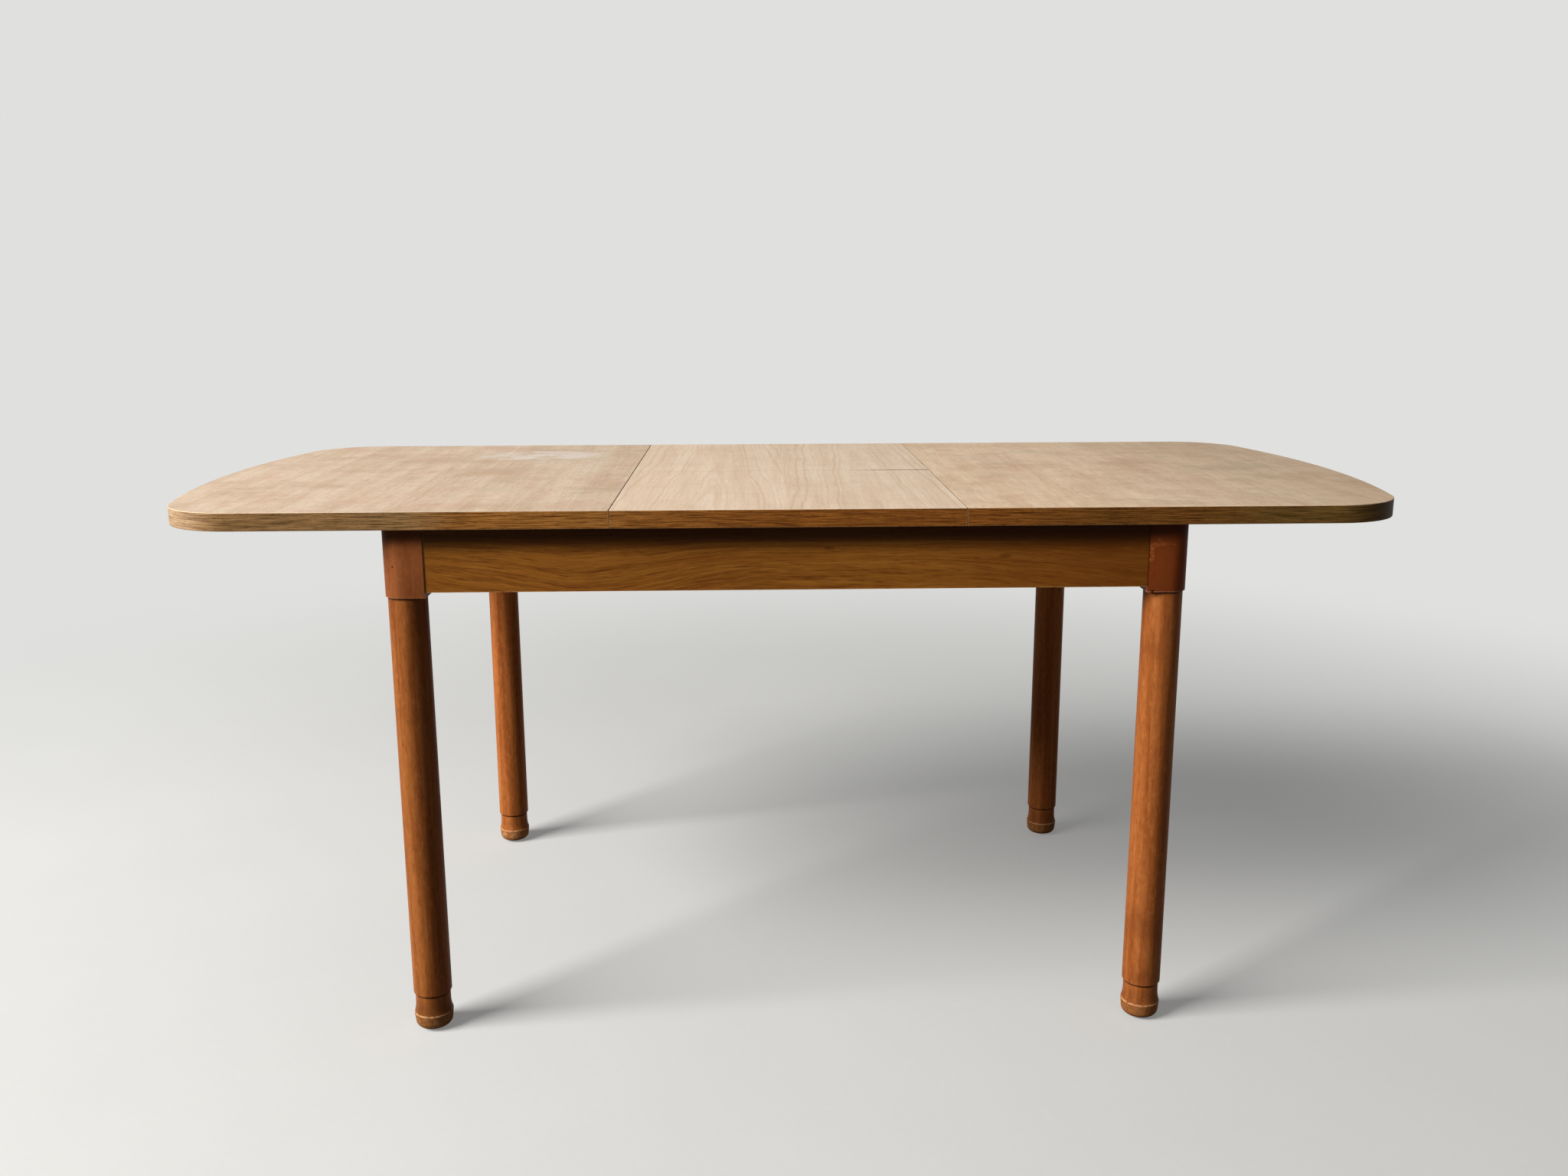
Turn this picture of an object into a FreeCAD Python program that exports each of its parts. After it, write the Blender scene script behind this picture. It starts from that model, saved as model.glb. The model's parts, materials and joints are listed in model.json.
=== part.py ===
"""Extending dining table, drawn with its folding leaf in place.

Two half tops with bowed ends ride on wooden runners that slide in two grooved guides inside a four
legged frame. Pulled apart they make room for a leaf that is hinged along its middle, so that it folds
in two and lies in the well between the guides when the table is small. Lengths are in millimetres.
The origin is on the floor under the middle of the table, +X along its length, +Z up, and the long
side at -Y is the front.
"""
import FreeCAD, Part
import math
import os

os.makedirs("parts", exist_ok=True)
V = FreeCAD.Vector

# Overall sizes
table_height = 740.0
table_length = 1696.0
table_depth = 766.0
overrun = 5.0

# Boards of the top
top_thickness = 24.0
leaf_width = 457.0
seam_gap = 0.8
fold_gap = 0.8
end_bow_radius = 1400.0
board_corner_radius = 105.0
face_veneer = 0.8
edge_lipping = 1.6
fold_axis_rise = 0.25

# Frame: rails, posts and legs
leg_spacing_x = 1002.0
side_overhang = 21.0
frame_top_gap = 3.0
rail_height = 83.0
rail_thickness = 18.0
rail_setback = 1.0
post_outer = 27.5
post_inner = 29.5
post_corner_radius = 25.0
post_chamfer = 22.0
post_drop = 7.5

# Turned leg, from the top down
leg_top_diameter = 51.2
leg_foot_diameter = 52.4
spigot_diameter = 30.0
spigot_length = 60.0
spigot_clearance = 0.05
spigot_end_gap = 1.0
leg_shoulder_height = 53.5
leg_shoulder_round = 2.0
shoulder_groove_depth = 1.0
shoulder_groove_height = 1.5
neck_diameter = 48.0
neck_flare_height = 40.0
ridge_height = 22.5
ridge_land = 2.0
ridge_diameter = 53.4
foot_diameter = 51.2
foot_round = 9.0

# Nail-on glide under each leg
glide_diameter = 26.0
glide_thickness = 2.5
glide_round = 1.0
glide_nail_diameter = 3.0
glide_nail_length = 16.0
nail_clearance = 0.05

# Dowels between rails and posts
dowel_diameter = 8.0
dowel_in_post = 16.0
dowel_in_rail = 20.0
dowel_clearance = 0.05
dowel_end_gap = 1.0
dowel_edge_distance = 20.0

# Steel corner bracket with its hanger bolt
bracket_thickness = 2.0
bracket_height = 46.0
bracket_reach = 55.0
bracket_flange = 22.0
hanger_diameter = 8.0
hanger_in_leg = 8.0
hanger_clearance = 0.05
hanger_hole_play = 0.5
hanger_tail = 6.0
washer_diameter = 20.0
washer_thickness = 1.6
nut_across_flats = 13.0
nut_height = 6.5

# Wood screws: bracket and block screws, and the longer ones under runners and bearers
small_screw_diameter = 3.8
small_screw_grip = 13.0
small_head_diameter = 7.6
small_head_height = 2.2
long_screw_diameter = 4.4
long_screw_bite = 13.0
long_head_diameter = 8.6
long_head_height = 3.0
head_sink = 0.5
screw_clearance = 0.05

# Sliding gear
gear_clearance = 0.7
runner_width = 20.0
runner_height = 21.0
runner_end_inset = 75.0
runner_reach = 200.0
runner_end_radius = 12.0
tongue_height = 6.0
tongue_reach = 7.0
tongue_drop = 7.0
groove_clearance = 0.5
side_clearance = 0.4
guide_width = 21.0
guide_end_gap = 0.2
notch_clearance = 1.0
stop_travel = 30.0
stop_peg_diameter = 8.0
stop_peg_drop = 14.0
stop_peg_hold = 12.0
stop_clearance = 0.3
runner_screw_shares = (0.09, 0.36, 0.64, 0.91)

# Leaf well: cross bearers and the blocks that hold them
well_spare_depth = 6.0
bearer_width = 60.0
bearer_thickness = 20.0
bearer_offset = 195.0
bearer_end_gap = 0.2
block_length = 46.0
block_width = 30.0
block_height = 36.0

# Barrel hinges in the fold of the leaf
hinge_shares = (-0.66, 0.0, 0.66)
barrel_diameter = 14.0
barrel_length = 26.0
barrel_clearance = 0.05
barrel_setback = 0.15
slot_width = 5.0
slot_depth = 13.0
link_clearance = 0.2
link_height = 8.0
link_pin_diameter = 2.5
pin_clearance = 0.05

# Levels and places that follow from the sizes above
top_underside = table_height - top_thickness
veneer_underside = table_height - face_veneer
frame_top = top_underside - frame_top_gap
rail_bottom = frame_top - rail_height
post_bottom = rail_bottom - post_drop
leg_x = leg_spacing_x / 2
leg_y = table_depth / 2 - side_overhang - post_outer
rail_outside = rail_setback - post_outer
rail_inside = rail_outside + rail_thickness
end_rail_inner_x = leg_x - rail_inside
apron_inner_y = leg_y - rail_inside
leaf_edge_x = leaf_width / 2
half_seam_x = leaf_edge_x + seam_gap
half_depth = table_depth / 2
runner_bottom = top_underside - runner_height
runner_outer_x = table_length / 2 - runner_end_inset
outer_runner_y = leg_y - bracket_reach - bracket_flange - gear_clearance - runner_width
guide_outer_y = outer_runner_y - side_clearance
guide_inner_y = guide_outer_y - guide_width
runner_inner_face = guide_inner_y - side_clearance - runner_width
folded_leaf = 2 * top_thickness + 2 * fold_axis_rise
bearer_top = top_underside - folded_leaf - well_spare_depth
bearer_bottom = bearer_top - bearer_thickness
bracket_mid = rail_bottom + rail_height / 2
corners = {"front_left": (-1, -1), "front_right": (1, -1), "rear_left": (-1, 1), "rear_right": (1, 1)}
origin = V(0, 0, 0)
x_axis = V(1, 0, 0)
y_axis = V(0, 1, 0)
z_axis = V(0, 0, 1)
full_turn = 360
half_root = math.sqrt(0.5)


def box(low, high):
    """A block between two opposite corners, given in any order."""
    lows = [min(a, b) for a, b in zip(low, high)]
    sizes = [abs(b - a) for a, b in zip(low, high)]
    return Part.makeBox(*sizes, V(*lows))


def rod(diameter, start, direction, length):
    """A round bar from a point along a direction."""
    return Part.makeCylinder(diameter / 2, length, start, direction)


def prism(points, level, height):
    """An upright prism over a closed outline of plan points."""
    wire = Part.makePolygon([V(x, y, level) for x, y in points + points[:1]])
    return Part.Face(wire).extrude(V(0, 0, height))


def turned(profile):
    """A turned piece with its axis up from the origin. A profile point is (radius, height), and one
    of four values is the middle and the end of an arc."""
    edges = []
    here = V(0, 0, profile[0][1])
    for point in profile + [(0, profile[-1][-1])]:
        end = V(point[-2], 0, point[-1])
        if here.distanceToPoint(end) == 0:
            continue
        if len(point) > 2:
            edges.append(Part.Arc(here, V(point[0], 0, point[1]), end).toShape())
        else:
            edges.append(Part.LineSegment(here, end).toShape())
        here = end
    edges.append(Part.LineSegment(here, V(0, 0, profile[0][1])).toShape())
    return Part.Face(Part.Wire(edges)).revolve(origin, z_axis, full_turn)


def mirrored(shape, normal):
    """A copy of a shape on the other side of the plane through the origin with that normal."""
    return shape.mirror(origin, normal)


def to_corner(shape, side):
    """Moves a piece drawn for the front left corner, leg axis at the origin, to a corner of the frame."""
    sx, sy = side
    placed = shape
    if sx > 0:
        placed = mirrored(placed, x_axis)
    if sy > 0:
        placed = mirrored(placed, y_axis)
    return placed.translated(V(sx * leg_x, sy * leg_y, 0))


def one_solid(shape):
    """The single solid of a cut or fused shape, with its seams cleaned away."""
    return shape.removeSplitter().Solids[0]


def group(shapes):
    """Like pieces that share one node, as separate solids."""
    return Part.makeCompound([solid for shape in shapes for solid in shape.Solids])


def save(name, shape):
    """Writes one sub-part."""
    shape.exportStep("parts/" + name + ".step")


def flat_head_screw(diameter, length, head_diameter, head_height):
    """A countersunk wood screw that points up from the origin, its head's flat on the origin."""
    tip = diameter
    profile = [(head_diameter / 2, 0), (diameter / 2, head_height)]
    profile += [(diameter / 2, length - tip), (0, length)]
    return turned(profile)


def round_head_screw(diameter, grip, head_diameter, head_height):
    """A round head screw that points up, with the seat of its head at the origin."""
    shoulder = head_height / 2
    profile = [(head_diameter / 4, -head_height), (head_diameter / 2, -shoulder), (head_diameter / 2, 0)]
    profile += [(diameter / 2, 0), (diameter / 2, grip - diameter), (0, grip)]
    return turned(profile)


def aimed(shape, direction, place):
    """Turns a piece that points up so that it points along a direction, and puts it at a place."""
    turned_shape = shape.copy()
    turned_shape.Placement = FreeCAD.Placement(place, FreeCAD.Rotation(z_axis, direction))
    return turned_shape


# Boards of the top: a core, a sheet of veneer over it and a lipping round its edge


def half_top_outline(inset, level):
    """The right half top in plan: straight seam and sides, bowed end, rounded corners."""
    bow_x = table_length / 2 - end_bow_radius
    corner_y = half_depth - board_corner_radius
    reach = end_bow_radius - board_corner_radius
    corner_x = bow_x + math.sqrt(reach ** 2 - corner_y ** 2)
    bow = end_bow_radius - inset
    corner = board_corner_radius - inset
    side = half_depth - inset
    turn = math.atan2(corner_y, corner_x - bow_x)
    half_turn = (turn + math.pi / 2) / 2
    seam = half_seam_x + inset

    def at(x, y):
        return V(x, y, level)

    def on_corner(angle, sign):
        return at(corner_x + corner * math.cos(angle), sign * (corner_y + corner * math.sin(angle)))

    def on_bow(angle):
        return at(bow_x + bow * math.cos(angle), bow * math.sin(angle))

    edges = [
        Part.LineSegment(at(seam, -side), at(corner_x, -side)),
        Part.Arc(at(corner_x, -side), on_corner(half_turn, -1), on_corner(turn, -1)),
        Part.Arc(on_corner(turn, -1), on_bow(-turn / 2), at(bow_x + bow, 0)),
        Part.Arc(at(bow_x + bow, 0), on_bow(turn / 2), on_corner(turn, 1)),
        Part.Arc(on_corner(turn, 1), on_corner(half_turn, 1), at(corner_x, side)),
        Part.LineSegment(at(corner_x, side), at(seam, side)),
        Part.LineSegment(at(seam, side), at(seam, -side)),
    ]
    return Part.Wire([edge.toShape() for edge in edges])


def leaf_outline(inset, level):
    """The rear half of the leaf in plan."""
    x = leaf_edge_x - inset
    near = fold_gap / 2 + inset
    far = half_depth - inset
    points = [V(-x, near, level), V(x, near, level), V(x, far, level), V(-x, far, level)]
    return Part.makePolygon(points + points[:1])


def board(outline):
    """Core, veneer and lipping of one board, from the function that draws its outline."""
    rise = V(0, 0, veneer_underside - top_underside)
    core = Part.Face(outline(edge_lipping, top_underside)).extrude(rise)
    whole = Part.Face(outline(0, top_underside)).extrude(rise)
    lipping = whole.cut(core)
    veneer = Part.Face(outline(0, veneer_underside)).extrude(V(0, 0, face_veneer))
    return core, veneer, lipping


# Sliding gear: runner and screws for one half top, guide for the frame


def runner_solid(inner_y, tongue_side):
    """A runner of the right half top at +Y, with its tongue towards +Y (1) or -Y (-1)."""
    start = -runner_reach
    end = runner_outer_x
    body = box((start, inner_y, runner_bottom), (end, inner_y + runner_width, top_underside))
    lower_edges = [e for e in body.Edges if on_lower_end(e, start, end)]
    body = body.makeFillet(runner_end_radius, lower_edges)
    face_y = inner_y + runner_width if tongue_side > 0 else inner_y
    tongue_top = top_underside - tongue_drop
    tongue_low = (start + runner_end_radius, face_y, tongue_top - tongue_height)
    tongue = box(tongue_low, (end - runner_end_radius, face_y + tongue_side * tongue_reach, tongue_top))
    return one_solid(body.fuse(tongue))


def on_lower_end(edge, start, end):
    """True for the two lower edges across a runner's ends."""
    middle = edge.CenterOfMass
    low = abs(middle.z - runner_bottom) < runner_height / 4
    at_end = min(abs(middle.x - start), abs(middle.x - end)) < runner_width / 4
    return low and at_end


def runner_screw_places(inner_y):
    """Where the screws come up through a runner of the right half top into its board."""
    span = runner_outer_x - half_seam_x
    middle_y = inner_y + runner_width / 2
    return [V(half_seam_x + share * span, middle_y, runner_bottom) for share in runner_screw_shares]


def runner_screw(place):
    """One countersunk screw through a runner, its head sunk a little."""
    length = runner_height - head_sink + long_screw_bite
    screw = flat_head_screw(long_screw_diameter, length, long_head_diameter, long_head_height)
    return screw.translated(place + V(0, 0, head_sink))


def screw_bore(place, direction, length, sink):
    """The countersunk hole for a long screw, from the face that its head lies in."""
    wide = long_head_diameter + 2 * screw_clearance
    narrow = long_screw_diameter + 2 * screw_clearance
    mouth = Part.makeCylinder(wide / 2, sink, origin, z_axis)
    cone = Part.makeCone(wide / 2, narrow / 2, long_head_height, V(0, 0, sink), z_axis)
    hole = Part.makeCylinder(narrow / 2, length, V(0, 0, sink), z_axis)
    return aimed(mouth.fuse(cone).fuse(hole), direction, place)


def stop_peg_place(inner_y):
    """Under a runner of the right half top, a travel away from the end rail."""
    x = end_rail_inner_x - stop_travel - stop_clearance - stop_peg_diameter / 2
    return V(x, inner_y + runner_width / 2, runner_bottom - stop_peg_drop)


def running_gear(inner_y, tongue_side):
    """Runner, screws, stop peg and the holes that its screws need, on the +Y side of the right top."""
    places = runner_screw_places(inner_y)
    screws = [runner_screw(place) for place in places]
    length = runner_height + long_screw_bite
    bores = [screw_bore(place, z_axis, length, head_sink) for place in places]
    peg_place = stop_peg_place(inner_y)
    peg_length = stop_peg_drop + stop_peg_hold
    peg = rod(stop_peg_diameter, peg_place, z_axis, peg_length)
    peg_bore = rod(stop_peg_diameter + 2 * dowel_clearance, peg_place, z_axis, peg_length + dowel_end_gap)
    runner = one_solid(runner_solid(inner_y, tongue_side).cut(peg_bore).cut(Part.makeCompound(bores)))
    return runner, screws, peg, bores


def guide_solid():
    """The rear guide: a rail with a groove down each side."""
    end = end_rail_inner_x - guide_end_gap
    body = box((-end, guide_inner_y, bearer_top), (end, guide_outer_y, frame_top))
    top = top_underside - tongue_drop + groove_clearance
    bottom = top - tongue_height - 2 * groove_clearance
    depth = tongue_reach - side_clearance + groove_clearance
    cuts = []
    for face_y, inward in ((guide_inner_y, 1), (guide_outer_y, -1)):
        low = (-end - overrun, face_y - inward * overrun, bottom)
        cuts.append(box(low, (end + overrun, face_y + inward * depth, top)))
    return one_solid(body.cut(Part.makeCompound(cuts)))


# Frame: aprons, end rails, posts, legs, brackets


def dowel_levels():
    """Heights of the two dowels at each end of a rail."""
    return (rail_bottom + dowel_edge_distance, frame_top - dowel_edge_distance)


def corner_dowels(play):
    """The four dowels of one corner, drawn at the front left, grown by some play for their holes."""
    middle = (rail_outside + rail_inside) / 2
    reach = dowel_end_gap if play > 0 else 0
    start = post_inner - dowel_in_post - reach
    length = dowel_in_post + dowel_in_rail + 2 * reach
    diameter = dowel_diameter + 2 * play
    dowels = []
    for level in dowel_levels():
        dowels.append(rod(diameter, V(start, middle, level), x_axis, length))
        dowels.append(rod(diameter, V(middle, start, level), y_axis, length))
    return dowels


def post_solid():
    """A corner post: round outside corner, chamfered inside corner, bored for spigot and bolt."""
    out = -post_outer
    cut_in = post_inner - post_chamfer
    points = [(out, out), (post_inner, out), (post_inner, cut_in), (cut_in, post_inner), (out, post_inner)]
    block = prism(points, post_bottom, frame_top - post_bottom)
    outer_edges = [e for e in block.Edges if is_outer_corner(e)]
    block = block.makeFillet(post_corner_radius, outer_edges)
    bore_depth = spigot_length + spigot_end_gap
    bore = rod(spigot_diameter + 2 * spigot_clearance, V(0, 0, post_bottom), z_axis, bore_depth)
    holes = [bore, hanger_bore()] + corner_dowels(dowel_clearance)
    return one_solid(block.cut(Part.makeCompound(holes)))


def is_outer_corner(edge):
    """True for the upright edge at a post's outside corner."""
    middle = edge.CenterOfMass
    near = abs(middle.x + post_outer) + abs(middle.y + post_outer) < post_outer / 4
    return near and abs(edge.Vertexes[0].Z - edge.Vertexes[-1].Z) > post_drop


def hanger_direction():
    """From the leg's axis towards the inside of the frame."""
    return V(1, 1, 0).normalize()


def hanger_bore():
    """The hole for the hanger bolt in post and spigot."""
    start = hanger_direction() * -(hanger_in_leg + dowel_end_gap) + V(0, 0, bracket_mid)
    return rod(hanger_diameter + 2 * hanger_clearance, start, hanger_direction(), post_inner * 2)


def bracket_plane():
    """Distance of the bracket's slanted inner face from the leg's axis."""
    return (bracket_reach + rail_inside) / math.sqrt(2) + bracket_thickness


def bracket_screw_places():
    """Seats of the four screws in one bracket, each with the direction that the screw points."""
    along = bracket_reach + bracket_flange / 2
    seat = rail_inside + bracket_thickness
    rise = bracket_height / 2 - small_head_diameter
    places = []
    for level in (bracket_mid - rise, bracket_mid + rise):
        places.append((V(along, seat, level), y_axis * -1))
        places.append((V(seat, along, level), x_axis * -1))
    return places


def bracket_solid():
    """A pressed steel bracket: a plate across the corner with a flange on each rail."""
    reach = bracket_reach
    end = bracket_reach + bracket_flange
    back = rail_inside
    face = rail_inside + bracket_thickness
    bend = bracket_reach + bracket_thickness * math.tan(math.pi / 8)
    outer = [(end, back), (reach, back), (back, reach), (back, end)]
    inner = [(face, end), (face, bend), (bend, face), (end, face)]
    plate = prism(outer + inner, bracket_mid - bracket_height / 2, bracket_height)
    hole_diameter = hanger_diameter + 2 * hanger_hole_play
    holes = [rod(hole_diameter, V(0, 0, bracket_mid), hanger_direction(), bracket_reach * 2)]
    for seat, direction in bracket_screw_places():
        diameter = small_screw_diameter + 2 * screw_clearance
        holes.append(rod(diameter, seat - direction * overrun, direction, small_screw_grip))
    return one_solid(plate.cut(Part.makeCompound(holes)))


def bracket_screws():
    """The four round head screws of one bracket."""
    screw = round_head_screw(small_screw_diameter, small_screw_grip, small_head_diameter, small_head_height)
    return [aimed(screw, direction, seat) for seat, direction in bracket_screw_places()]


def bracket_screw_bores():
    """Pilot holes in the rails for one bracket's screws."""
    diameter = small_screw_diameter + 2 * screw_clearance
    length = small_screw_grip + dowel_end_gap
    return [rod(diameter, seat, direction, length) for seat, direction in bracket_screw_places()]


def hanger_bolt():
    """Half wood screw, half machine screw: drawn as a plain bar."""
    start = hanger_direction() * -hanger_in_leg + V(0, 0, bracket_mid)
    length = hanger_in_leg + bracket_plane() + washer_thickness + nut_height + hanger_tail
    return rod(hanger_diameter, start, hanger_direction(), length)


def hanger_washer():
    """A flat washer against the bracket."""
    seat = hanger_direction() * bracket_plane() + V(0, 0, bracket_mid)
    disc = rod(washer_diameter, seat, hanger_direction(), washer_thickness)
    hole_diameter = hanger_diameter + 2 * hanger_clearance
    return disc.cut(rod(hole_diameter, seat, hanger_direction(), washer_thickness))


def hanger_nut():
    """A hexagon nut over the washer."""
    radius = nut_across_flats / math.sqrt(3)
    turns = [k * math.pi / 3 for k in range(6)]
    hexagon = prism([(radius * math.cos(t), radius * math.sin(t)) for t in turns], 0, nut_height)
    hole = rod(hanger_diameter + 2 * hanger_clearance, origin, z_axis, nut_height)
    seat = hanger_direction() * (bracket_plane() + washer_thickness) + V(0, 0, bracket_mid)
    return aimed(hexagon.cut(hole), hanger_direction(), seat)


def rounded(radius, level, size):
    """A quarter round from an underside to an upright side, which it meets at a level."""
    return (radius - size + size * half_root, level - size * half_root, radius, level)


def hollow(start_radius, start_level, end_radius, end_level):
    """A hollow flare from an edge up to a straight neck that it meets smoothly."""
    across = start_radius - end_radius
    rise = end_level - start_level
    bend = (across ** 2 + rise ** 2) / (2 * across)
    turn = math.asin(rise / bend) / 2
    middle = (end_radius + bend - bend * math.cos(turn), end_level - bend * math.sin(turn))
    return (*middle, end_radius, end_level)


def leg_solid():
    """A turned leg with a spigot on top, and shoulder, neck, ridge and rounded foot below."""
    sole = glide_thickness
    foot = foot_diameter / 2
    ridge = ridge_diameter / 2
    ridge_top = ridge_height + ridge_land
    neck = neck_diameter / 2
    groove = neck - shoulder_groove_depth
    groove_bottom = leg_shoulder_height - shoulder_groove_height
    shaft = leg_foot_diameter / 2
    spigot = spigot_diameter / 2
    profile = [(foot - foot_round, sole), rounded(foot, sole + foot_round, foot_round)]
    profile += [(ridge, ridge_height), (ridge, ridge_top)]
    profile += [hollow(ridge, ridge_top, neck, neck_flare_height)]
    profile += [(neck, groove_bottom), (groove, groove_bottom), (groove, leg_shoulder_height)]
    profile += [(shaft - leg_shoulder_round, leg_shoulder_height)]
    profile += [rounded(shaft, leg_shoulder_height + leg_shoulder_round, leg_shoulder_round)]
    profile += [(leg_top_diameter / 2, post_bottom), (spigot, post_bottom)]
    profile += [(spigot, post_bottom + spigot_length)]
    leg = turned(profile)
    nail_diameter = glide_nail_diameter + 2 * nail_clearance
    nail_bore = rod(nail_diameter, origin, z_axis, glide_nail_length + dowel_end_gap)
    return one_solid(leg.cut(nail_bore).cut(hanger_bore()))


def glide():
    """A domed steel disc with a nail that is driven into the foot."""
    edge = glide_diameter / 2
    nail = glide_nail_diameter / 2
    profile = [(edge - glide_round, 0), rounded(edge, glide_round, glide_round), (edge, glide_thickness)]
    profile += [(nail, glide_thickness), (nail, glide_nail_length - nail), (0, glide_nail_length)]
    return turned(profile)


def apron_solid():
    """The front apron between the front posts, bored for dowels and screws."""
    end = leg_x - post_inner
    outer = -(leg_y - rail_outside)
    body = box((-end, outer, rail_bottom), (end, -apron_inner_y, frame_top))
    holes = corner_dowels(dowel_clearance) + bracket_screw_bores()
    cuts = [to_corner(hole, side) for hole in holes for side in ((-1, -1), (1, -1))]
    cuts += [bore for sx in (-1, 1) for bore in block_screw_bores(sx, -1)]
    return one_solid(body.cut(Part.makeCompound(cuts)))


def end_rail_solid(gear_y, tongue_side):
    """The right end rail, notched from its top for the two runners that pass through it."""
    end = leg_y - post_inner
    body = box((end_rail_inner_x, -end, rail_bottom), (leg_x - rail_outside, end, frame_top))
    low_y = gear_y - notch_clearance
    high_y = gear_y + runner_width + notch_clearance
    if tongue_side > 0:
        high_y += tongue_reach
    else:
        low_y -= tongue_reach
    floor = runner_bottom - notch_clearance
    cuts = []
    for side in (-1, 1):
        low = (end_rail_inner_x - overrun, side * low_y, floor)
        cuts.append(box(low, (leg_x - rail_outside + overrun, side * high_y, frame_top + overrun)))
    holes = corner_dowels(dowel_clearance) + bracket_screw_bores()
    cuts += [to_corner(hole, side) for hole in holes for side in ((1, -1), (1, 1))]
    return one_solid(body.cut(Part.makeCompound(cuts)))


# Leaf well: bearers across the frame, held by blocks on the aprons


def block_screw_places(sx, sy):
    """Seats of the two screws that hold one block to its apron."""
    seat_y = sy * (apron_inner_y - block_width)
    level = bearer_top + block_height / 2
    reach = block_length / 4
    return [V(sx * bearer_offset + step, seat_y, level) for step in (-reach, reach)]


def block_screw_bores(sx, sy):
    """Holes through a block into its apron."""
    direction = V(0, sy, 0)
    length = block_width + long_screw_bite
    return [screw_bore(place, direction, length, head_sink) for place in block_screw_places(sx, sy)]


def block_screws(sx, sy):
    """The two screws through a block into its apron."""
    direction = V(0, sy, 0)
    length = block_width - head_sink + long_screw_bite
    screw = flat_head_screw(long_screw_diameter, length, long_head_diameter, long_head_height)
    return [aimed(screw, direction, place + direction * head_sink) for place in block_screw_places(sx, sy)]


def bearer_screw_places(sx):
    """Where screws come up through a bearer: into the blocks at its ends, then into the guides."""
    block_y = apron_inner_y - block_width / 2
    guide_y = (guide_inner_y + guide_outer_y) / 2
    return [V(sx * bearer_offset, y, bearer_bottom) for y in (-block_y, block_y, -guide_y, guide_y)]


def bearer_screw_bores(sx):
    """Holes through a bearer into blocks and guides."""
    length = bearer_thickness + long_screw_bite
    return [screw_bore(place, z_axis, length, head_sink) for place in bearer_screw_places(sx)]


def bearer_screws(sx):
    """The four screws of one bearer."""
    length = bearer_thickness - head_sink + long_screw_bite
    screw = flat_head_screw(long_screw_diameter, length, long_head_diameter, long_head_height)
    return [screw.translated(place + V(0, 0, head_sink)) for place in bearer_screw_places(sx)]


def bearer_solid(sx):
    """A flat bearer across the frame under both guides."""
    end = apron_inner_y - bearer_end_gap
    low_x = sx * bearer_offset - bearer_width / 2
    body = box((low_x, -end, bearer_bottom), (low_x + bearer_width, end, bearer_top))
    return one_solid(body.cut(Part.makeCompound(bearer_screw_bores(sx))))


def block_solid(sx, sy):
    """A block on an apron, over the end of a bearer."""
    low_x = sx * bearer_offset - block_length / 2
    low = (low_x, sy * (apron_inner_y - block_width), bearer_top)
    body = box(low, (low_x + block_length, sy * apron_inner_y, bearer_top + block_height))
    cuts = block_screw_bores(sx, sy) + bearer_screw_bores(sx)
    return one_solid(body.cut(Part.makeCompound(cuts)))


# Barrel hinges: drawn in the rear half of the leaf, mirrored for the front half


def hinge_places():
    """Where the hinges' axes cross the face of the fold."""
    level = top_underside + top_thickness / 2
    return [V(share * leaf_edge_x, fold_gap / 2, level) for share in hinge_shares]


def hinge_bore(place):
    """The round hole for one barrel, from the fold face into the board."""
    start = place - V(0, overrun, 0)
    length = barrel_length + barrel_setback + dowel_end_gap + overrun
    return rod(barrel_diameter + 2 * barrel_clearance, start, y_axis, length)


def hinge_barrel(place):
    """A brass barrel with a slot for the links and a hole for their pin."""
    start = place + V(0, barrel_setback, 0)
    barrel = rod(barrel_diameter, start, y_axis, barrel_length)
    half_slot = slot_width / 2
    half_link = link_height / 2 + link_clearance
    low = start + V(-half_slot, -overrun, -half_link)
    high = start + V(half_slot, slot_depth, half_link)
    return one_solid(barrel.cut(box(tuple(low), tuple(high))).cut(hinge_pin_bar(place, pin_clearance)))


def hinge_pin_bar(place, play):
    """The cross pin of one barrel, grown by some play for its hole."""
    half = barrel_diameter / 2 * math.cos(math.asin(link_pin_diameter / barrel_diameter))
    reach = half + (overrun if play > 0 else -barrel_clearance)
    middle = place + V(-reach, barrel_setback + slot_depth - link_height / 2, 0)
    return rod(link_pin_diameter + 2 * play, middle, x_axis, 2 * reach)


def hinge_link(place):
    """The half of the folding links that lies in this barrel's slot, round at its inner end."""
    half_width = slot_width / 2 - link_clearance
    radius = link_height / 2
    pivot = place + V(-half_width, barrel_setback + slot_depth - link_height / 2 - link_clearance, 0)
    eye = rod(link_height, pivot, x_axis, 2 * half_width)
    low = place + V(-half_width, barrel_setback, -radius)
    tail = box(tuple(low), (low.x + 2 * half_width, pivot.y, low.z + link_height))
    return one_solid(eye.fuse(tail).cut(hinge_pin_bar(place, pin_clearance)))


# Making and saving the sub-parts


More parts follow.
